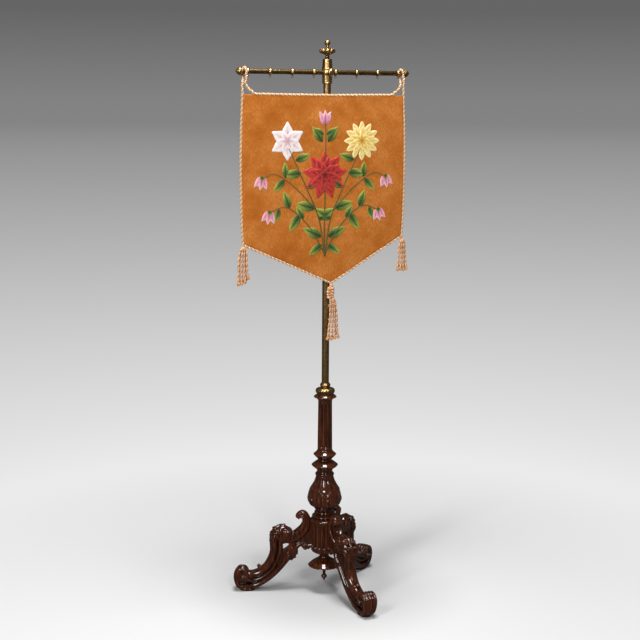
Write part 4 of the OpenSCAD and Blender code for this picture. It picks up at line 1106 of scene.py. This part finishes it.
@dataclass
class Tassels:
    """Three tassels of twisted strands: two at the corners, a longer knotted one at the point."""

    plane: float = -13.3
    strand_r: float = 2.7
    pitch: float = 13.0
    cleft: float = 0.35
    tuft_l: float = 11.0
    depth: float = 12.0
    knot_turns: float = 4.0
    knot_r: float = 3.9
    seed: int = 7

    def strand(self, blank: Blank, control: np.ndarray) -> None:
        """Lay one twisted strand with a round tuft at its end, from its top down."""
        even = even_route(smooth_route(control, 12), 1.2)
        run = run_along(even)
        left = run[-1] - run
        swell = np.clip((self.tuft_l - left) / (self.tuft_l * 0.6), 0, 1)
        radius = self.strand_r * np.clip(0.7 + run / 20, 0, 1) * (1 + 0.6 * np.sin(swell * math.pi / 2))
        radius *= np.sqrt(np.clip(1 - ((2.4 - left) / 2.6).clip(0, 1) ** 2, 0.05, 1))
        rings, ply = rope_rings(even, radius, self.pitch, 10, self.cleft)
        blank.rings(rings, ply=ply * (1 - 0.75 * swell[:, None]))

    def hanger(self, blank: Blank, top: np.ndarray) -> None:
        """Run a short thread from a tassel's top up into the edge cord."""
        blank.thread(np.array([(0, 0, 4.5), (0, 0, 0), (0, 0, -6)]) + top, np.array([1.4, 1.7, 1.5]), 10, 0.7)

    def skirt(
        self, blank: Blank, top: np.ndarray, longs: list[float], widths: tuple[float, float], drift: float, draw: Random
    ) -> None:
        """Hang strands from one point, round-shouldered, in a front and a back row.

        Args:
            blank: The tassel in the making.
            top: Where the strands start.
            longs: Lengths of the front strands, from left to right.
            widths: Width over the strands at their shoulders and at their ends.
            drift: Sideways swing at half length.
            draw: Source of the strands' small differences.
        """
        self.hanger(blank, top)
        shoulder, end = (w / 2 - self.strand_r for w in widths)
        deep = self.depth / 2 - self.strand_r
        count = len(longs)
        for row in (1, -1):
            for i in range(count if row < 0 else count - 1):
                k = -1 + 2 * (i + (row > 0) / 2) / (count - 1)
                long = longs[i] * (1 if row < 0 else draw.uniform(0.9, 0.98))
                sway = draw.uniform(-1.0, 1.0)
                y = row * deep * (1 - 0.35 * abs(k))
                spread = k * shoulder
                control = [(0.1 * spread, 0.3 * y, 0), (0.36 * spread, 0.8 * y, -7), (0.95 * spread, y, -18)]
                for share, swing in ((0.45, 0.8), (0.75, 0.4)):
                    x = k * (shoulder + (end - shoulder) * share**2) + drift * swing + sway * swing
                    control.append((x, y, -share * long))
                control.append((k * end, y, -long))
                self.strand(blank, np.array(control) + top)

    def knot(self, blank: Blank, top: np.ndarray, width: float, height: float) -> None:
        """Wind the wrapped knot of the middle tassel."""
        self.hanger(blank, top + (1.5, 0, 0))
        cord = self.knot_r
        t = np.linspace(0, 1, 200)
        turn = TURN * self.knot_turns * t
        swell = (width / 2 - cord) * (0.78 + 0.24 * np.sin(t * math.pi)) * np.clip(0.66 + 2.2 * t, 0, 1)
        fall = -cord - (height - 2 * cord) * t + 2.6 * np.cos(turn)
        wound = np.column_stack([swell * np.cos(turn), (self.depth / 2 - cord) * np.sin(turn), fall])
        even = even_route(wound + top, 1.2)
        rings, ply = rope_rings(even, np.full(len(even), cord), self.pitch, 12, self.cleft)
        blank.rings(rings, ply=ply)
        core = np.array([(0, 0, -1), (0, 0, -5), (0, 0, -height / 2), (0, 0, -height + 3), (0, 0, -height)])
        blank.thread(core + top, np.array([2.5, 4.2, 5.2, 4.6, 3]), 16, 0.4)

    def build(self) -> list[bpy.types.Object]:
        """Hang the three tassels, each on its own body, and give them."""
        draw = Random(self.seed)
        blanks = {name: Blank() for name in ("tassel_left", "tassel_middle", "tassel_right")}
        corner = np.array([-236.0, self.plane, 940.0])
        self.skirt(blanks["tassel_left"], corner, [101, 100, 96, 86], (25, 33), -1.0, draw)
        corner = np.array([213.5, self.plane, 944.5])
        self.skirt(blanks["tassel_right"], corner, [88, 87, 88.5, 86], (22, 32), -0.5, draw)
        head = np.array([8.0, -16.0, 829.0])
        self.knot(blanks["tassel_middle"], head + (-2.0, 0, 0), 23, 36)
        self.skirt(blanks["tassel_middle"], head + (4.0, 0, -30), [114.5, 115, 113, 111], (21, 37), 1.5, draw)
        # Frayed threads at the left of the skirt
        for drop, reach in ((46, 9), (78, 6)):
            stray = [(-3, -4, -drop), (-5, -4.6, -drop - 1)]
            stray += [(-3 - reach * 0.7, -5, -drop - 5), (-3 - reach, -5, -drop - 12)]
            blanks["tassel_middle"].thread(smooth_route(head + np.array(stray), 8), np.full(25, 0.45), 6, 1.0)
        made = []
        for node, blank in blanks.items():
            made.append(place(blank.mesh(f"{node}_strands"), SKIRT, node, "twisted_cord", node))
        return made


class PetalForm(Enum):
    """Outlines of the painted petals: how the half width grows along the length."""

    ROUND = (0.62, 0.62)
    LEAF = (0.8, 0.9)
    SLIM = (0.9, 0.6)


PAINTS = {
    "red": BodyColour("body_colour_red", "#3c0a10", "#97191b", "#cc3a2c"),
    "yellow": BodyColour("body_colour_yellow", "#b5761e", "#e6be55", "#f6e3a0"),
    "white": BodyColour("body_colour_white", "#c99aa0", "#ead6d6", "#f7f1ee"),
    "pink": BodyColour("body_colour_pink", "#a8405e", "#d98aa0", "#f0c4cc"),
    "leaf": BodyColour("body_colour_leaf_green", "#1d2c10", "#4a6524", "#9aa43f"),
    "stem": BodyColour("body_colour_stem_green", "#3a3f1a", "#565a24", "#6e7430"),
    "heart": BodyColour("body_colour_heart", "#6d4a12", "#b08a2a", "#d8b648"),
}


@dataclass
class Posy:
    """An upright posy painted on the velvet: plain garden blossoms, bell flowers, leaves and stems.

    Places in the design are X from the banner's upright middle line, and Z.
    """

    banner: Banner
    lift: float = 0.25
    blanks: dict[str, Blank] = field(default_factory=dict)

    def middle(self) -> float:
        """Give X of the banner's upright middle line."""
        return (self.banner.left + self.banner.right) / 2

    def petal(
        self,
        colour: str,
        root: tuple[float, float],
        angle: float,
        size: tuple[float, float],
        form: PetalForm,
        layer: int = 0,
    ) -> None:
        """Lay one petal or leaf on the velvet.

        Args:
            colour: The paint's name.
            root: Place of its root.
            angle: Direction in degrees, anticlockwise from +X.
            size: Length and width.
            form: Its outline.
            layer: How many petals lie under it.
        """
        length, width = size
        u = np.linspace(0, 1, 13)[:, None]
        v = np.linspace(-1, 1, 7)[None, :]
        skew, blunt = form.value
        half = width / 2 * np.maximum(np.sin(np.pi * np.clip(u, 0.004, 0.996) ** skew), 0.02) ** blunt
        along = u * length * (1 - 0.06 * (form is PetalForm.ROUND) * np.cos(v * 6))
        across = v * half
        a = math.radians(angle)
        x = self.middle() + root[0] + along * math.cos(a) - across * math.sin(a)
        z = root[1] + along * math.sin(a) + across * math.cos(a)
        ground = self.banner.front_at(x, z)
        crown = self.lift * (layer + 1) + 0.35 * (1 - v**2) * np.sin(np.pi * u)
        tone = np.clip(0.15 + 0.75 * u + 0.25 * np.abs(v) - 0.3 * (np.abs(v) < 0.1), 0, 1)
        front, back = (np.stack([x, y, z], -1) for y in (ground - crown, ground + 0.3))
        self.blanks.setdefault(colour, Blank()).pad(front, back, tone=tone)

    def blossom(
        self, colour: str, at: tuple[float, float], form: PetalForm, *rings: tuple[int, float, float, float]
    ) -> None:
        """Lay rings of petals round a middle, each ring as count, length, width and first angle."""
        for layer, (count, length, width, first) in enumerate(rings):
            for k in range(count):
                self.petal(colour, at, first + 360 / count * k, (length, width), form, layer)

    def stem(self, radius: float, *control: tuple[float, float]) -> None:
        """Lay a stem on the velvet through places."""
        flat = even_route(smooth_route(np.array(control) + (self.middle(), 0), 10), 4)
        route = np.column_stack([flat[:, 0], self.banner.front_at(flat[:, 0], flat[:, 1]), flat[:, 1]])
        rings = tube_rings(route, np.linspace(radius, radius * 0.7, len(route)), 8)
        self.blanks.setdefault("stem", Blank()).rings(rings, tone=np.full(rings.shape[:2], 0.4))

    def bell(self, at: tuple[float, float], angle: float, fan: int, length: float) -> None:
        """Lay a bell flower of three petals that open by a fan of degrees."""
        for k in (-fan, 0, fan):
            self.petal("pink", at, angle + k, (length, 18), PetalForm.ROUND, int(k == 0))

    def spray(self, side: int) -> None:
        """Lay the stems, leaves and bell flowers at one side."""
        self.stem(1.7, (side * 2, 910), (side * 16, 1000), (side * 56, 1090), (side * 100, 1180))
        self.stem(1.5, (side * 2, 915), (side * 46, 985), (side * 105, 1032), (side * 152, 1020))
        self.stem(1.4, (side * 22, 1020), (side * 78, 1078), (side * 135, 1116), (side * 172, 1106))
        # Leaves: X and Z of the root, angle and length
        leaves = [(10, 955, 25, 56), (8, 935, -35, 44), (18, 1000, 150, 54), (28, 1028, 15, 54), (50, 1080, 145, 48)]
        leaves += [(66, 1118, -5, 50), (70, 1012, -55, 50), (98, 1030, 70, 46), (112, 1102, -45, 42)]
        leaves += [(108, 1106, 85, 40), (82, 1150, 160, 44), (8, 1196, 55, 48), (4, 1214, 30, 34)]
        leaves += [(126, 1028, -70, 34), (60, 1002, 60, 38)]
        for x, z, angle, size in leaves:
            turned = angle if side > 0 else 180 - angle
            self.petal("leaf", (side * x, z), turned, (size, size * 0.48), PetalForm.LEAF)
        for x, z in ((152, 1020), (172, 1106)):
            self.bell((side * x, z + 2), -90 + side * 12, 34, 31)
            self.petal("leaf", (side * x, z + 6), -90 + side * 12, (13, 13), PetalForm.LEAF, 2)

    def build(self) -> list[bpy.types.Object]:
        """Paint the posy, and give one piece for each paint."""
        self.stem(1.9, (0, 905), (-1, 975), (0, 1040), (0, 1090))
        for side in (-1, 1):
            self.spray(side)
        self.stem(1.4, (0, 1150), (2, 1200), (0, 1246))
        self.bell((0, 1240), 90, 26, 35)
        left, right = (-104, 1198), (104, 1198)
        layers = [(9, 61, 37, 10), (8, 47, 32, 32), (7, 32, 24, 0), (5, 17, 14, 20)]
        self.blossom("red", (0, 1112), PetalForm.ROUND, *layers)
        self.blossom("yellow", right, PetalForm.SLIM, (12, 50, 20, 0), (10, 38, 17, 14), (8, 24, 13, 5))
        self.blossom("white", left, PetalForm.ROUND, (6, 47, 34, 30), (6, 29, 20, 0))
        self.blossom("heart", left, PetalForm.SLIM, (7, 10, 6, 0))
        self.blossom("heart", right, PetalForm.SLIM, (9, 9, 6, 0))
        made = []
        for paint, blank in self.blanks.items():
            made.append(place(blank.mesh(f"posy_{paint}"), PAINTS[paint], "banner", "velvet"))
        return made


# Studio


@dataclass
class Studio:
    """The camera at the photograph's angle, a pale floor, and three soft boxes. Lengths are metres."""

    azimuth: float = -25.0
    distance: float = 3.522
    eye: float = 1.3007
    pitch: float = 9.12
    yaw: float = 0.24
    roll: float = 0.33
    lens: float = 77.06
    sensor: float = 36.0
    aim: float = 0.75
    floor_r: float = 900.0

    def stand(self, thing: bpy.types.Object, azimuth: float, away: float, height: float) -> None:
        """Put a camera or lamp in the scene, at an azimuth and distance from the pole."""
        a = math.radians(azimuth)
        thing.location = (math.sin(a) * away, -math.cos(a) * away, height)
        thing.rotation_mode = "QUATERNION"
        bpy.context.scene.collection.objects.link(thing)

    def camera(self) -> None:
        """Stand the camera up and make it the scene's."""
        made = bpy.data.cameras.new("camera")
        made.lens = self.lens
        made.sensor_width = self.sensor
        camera = bpy.data.objects.new("camera", made)
        self.stand(camera, self.azimuth, self.distance, self.eye)
        heading = math.radians(self.azimuth) + math.radians(self.yaw)
        down = math.radians(self.pitch)
        level = math.cos(down)
        look = Vector((-math.sin(heading) * level, math.cos(heading) * level, -math.sin(down)))
        camera.rotation_quaternion = look.to_track_quat("-Z", "Y") @ Quaternion((0, 0, 1), math.radians(self.roll))
        bpy.context.scene.camera = camera

    def soft_box(
        self, name: str, turn: float, height: float, away: float, size: tuple[float, float], watts: float
    ) -> None:
        """Hang a lamp that faces the screen.

        Args:
            name: The lamp's name.
            turn: Degrees from the camera's azimuth.
            height: Height over the floor.
            away: Distance from the pole.
            size: Width and height of the box.
            watts: Its power.
        """
        lamp = bpy.data.lights.new(name, "AREA")
        lamp.shape = "RECTANGLE"
        lamp.size, lamp.size_y = size
        lamp.energy = watts
        box = bpy.data.objects.new(name, lamp)
        self.stand(box, self.azimuth + turn, away, height)
        box.rotation_quaternion = (Vector((0, 0, self.aim)) - box.location).to_track_quat("-Z", "Y")

    def world(self) -> None:
        """Wire a grey surround for what looks at it, and plain fill light for the rest."""
        made = bpy.data.worlds.new("surround")
        bpy.context.scene.world = made
        made.use_nodes = True
        tree = made.node_tree
        tree.nodes.clear()
        bench = Bench(tree)
        height = add_node(tree, "ShaderNodeSeparateXYZ", {0: bench.coords("Generated")}).outputs["Z"]
        grey = bench.ramp(height, (0.0, "#828282"), (0.063, "#656565"), (0.5, "#7a7a7a"))
        rays = add_node(tree, "ShaderNodeLightPath").outputs
        # Polish and metal see the surround in half light, as in a studio lit only by its lamps
        mirrored_rays = bench.maths("MAXIMUM", rays["Is Glossy Ray"], rays["Is Transmission Ray"])
        unseen = bench.mix(mirrored_rays, "#4c4c4c", "#484848")
        colour = bench.mix(rays["Is Camera Ray"], unseen, grey)
        sky = add_node(tree, "ShaderNodeBackground", {"Color": colour, "Strength": 1.0})
        add_node(tree, "ShaderNodeOutputWorld", {"Surface": sky.outputs[0]})

    def paper(self) -> bpy.types.Material:
        """Make the floor's paper, darker round the pole as a painted shadow, which goes over into a plain grey fade
        with distance from the screen.
        """
        made = bpy.data.materials.new("floor_paper")
        made.use_nodes = True
        tree = made.node_tree
        tree.nodes.clear()
        bench = Bench(tree)
        away = add_node(tree, "ShaderNodeVectorMath", {0: bench.coords()}, operation="LENGTH").outputs["Value"]
        # Distance in metres, squeezed so that the far floor keeps its steps
        share = bench.maths("DIVIDE", away, bench.maths("ADD", away, 4.0))
        near_greys = [(0.17, "#f6f6f6"), (1.0, "#828282"), (0.34, "#e1e1e1"), (0.52, "#cccccc")]
        fade = bench.ramp(share, *near_greys, (0.71, "#b1b1b1"), (0.9, "#929292"), (0.95, "#848484"))
        # Painted shadow: the paper is darker near the pole, standing for the stand's soft shadow on the floor
        painted_shadow = bench.span(away, (0.0, 1.0), (0.1, 0.43), interpolation_type="SMOOTHSTEP")
        sheet = add_node(tree, "ShaderNodeBsdfDiffuse", {"Color": bench.mix(painted_shadow, "#d8d8d8", "#f6f6f6")})
        glow = add_node(tree, "ShaderNodeEmission", {"Color": fade, "Strength": 1.0})
        far = bench.span(away, (0.0, 1.0), (0.45, 1.5), interpolation_type="SMOOTHSTEP")
        rays = add_node(tree, "ShaderNodeLightPath").outputs
        shown = bench.maths("MULTIPLY", rays["Is Camera Ray"], far)
        seen = add_node(tree, "ShaderNodeMixShader", {0: shown, 1: sheet.outputs[0], 2: glow.outputs[0]})
        # Polished wood and brass see a dim floor, as in a studio lit only by its lamps
        dim = add_node(tree, "ShaderNodeEmission", {"Color": linear("#505050"), "Strength": 1.0})
        ways = {0: rays["Is Glossy Ray"], 1: seen.outputs[0], 2: dim.outputs[0]}
        mixed = add_node(tree, "ShaderNodeMixShader", ways)
        add_node(tree, "ShaderNodeOutputMaterial", {"Surface": mixed.outputs[0]})
        return made

    def floor(self) -> None:
        """Roll out the pale floor."""
        mesh = bpy.data.meshes.new("floor")
        rim = [(math.cos(a) * self.floor_r, math.sin(a) * self.floor_r, 0.0) for a in angles(96)]
        mesh.from_pydata(rim, [], [tuple(range(96))])
        mesh.materials.append(self.paper())
        floor = bpy.data.objects.new("floor", mesh)
        bpy.context.scene.collection.objects.link(floor)

    def build(self) -> None:
        """Set up camera, surround, floor and lamps."""
        self.camera()
        self.world()
        self.floor()
        self.soft_box("soft_box_left", -31, 2.0, 2.9, (0.5, 1.4), 39)
        self.soft_box("soft_box_right", 13, 2.3, 3.3, (0.4, 0.8), 28)
        self.soft_box("soft_box_over", 0, 3.0, 0.4, (0.9, 0.9), 60)
        bpy.context.scene.view_settings.view_transform = "Standard"


def main() -> None:
    """Build the studio, then the screen from the floor up."""
    logging.basicConfig(level=logging.INFO, format="%(message)s")
    Studio().build()
    FittedNodes().build()
    CarvedLegs().build()
    TurnedPieces().build()
    CarvedBaluster().build()
    banner = Banner()
    banner.build(Posy(banner), Tassels())
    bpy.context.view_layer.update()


if __name__ == "__main__":
    main()
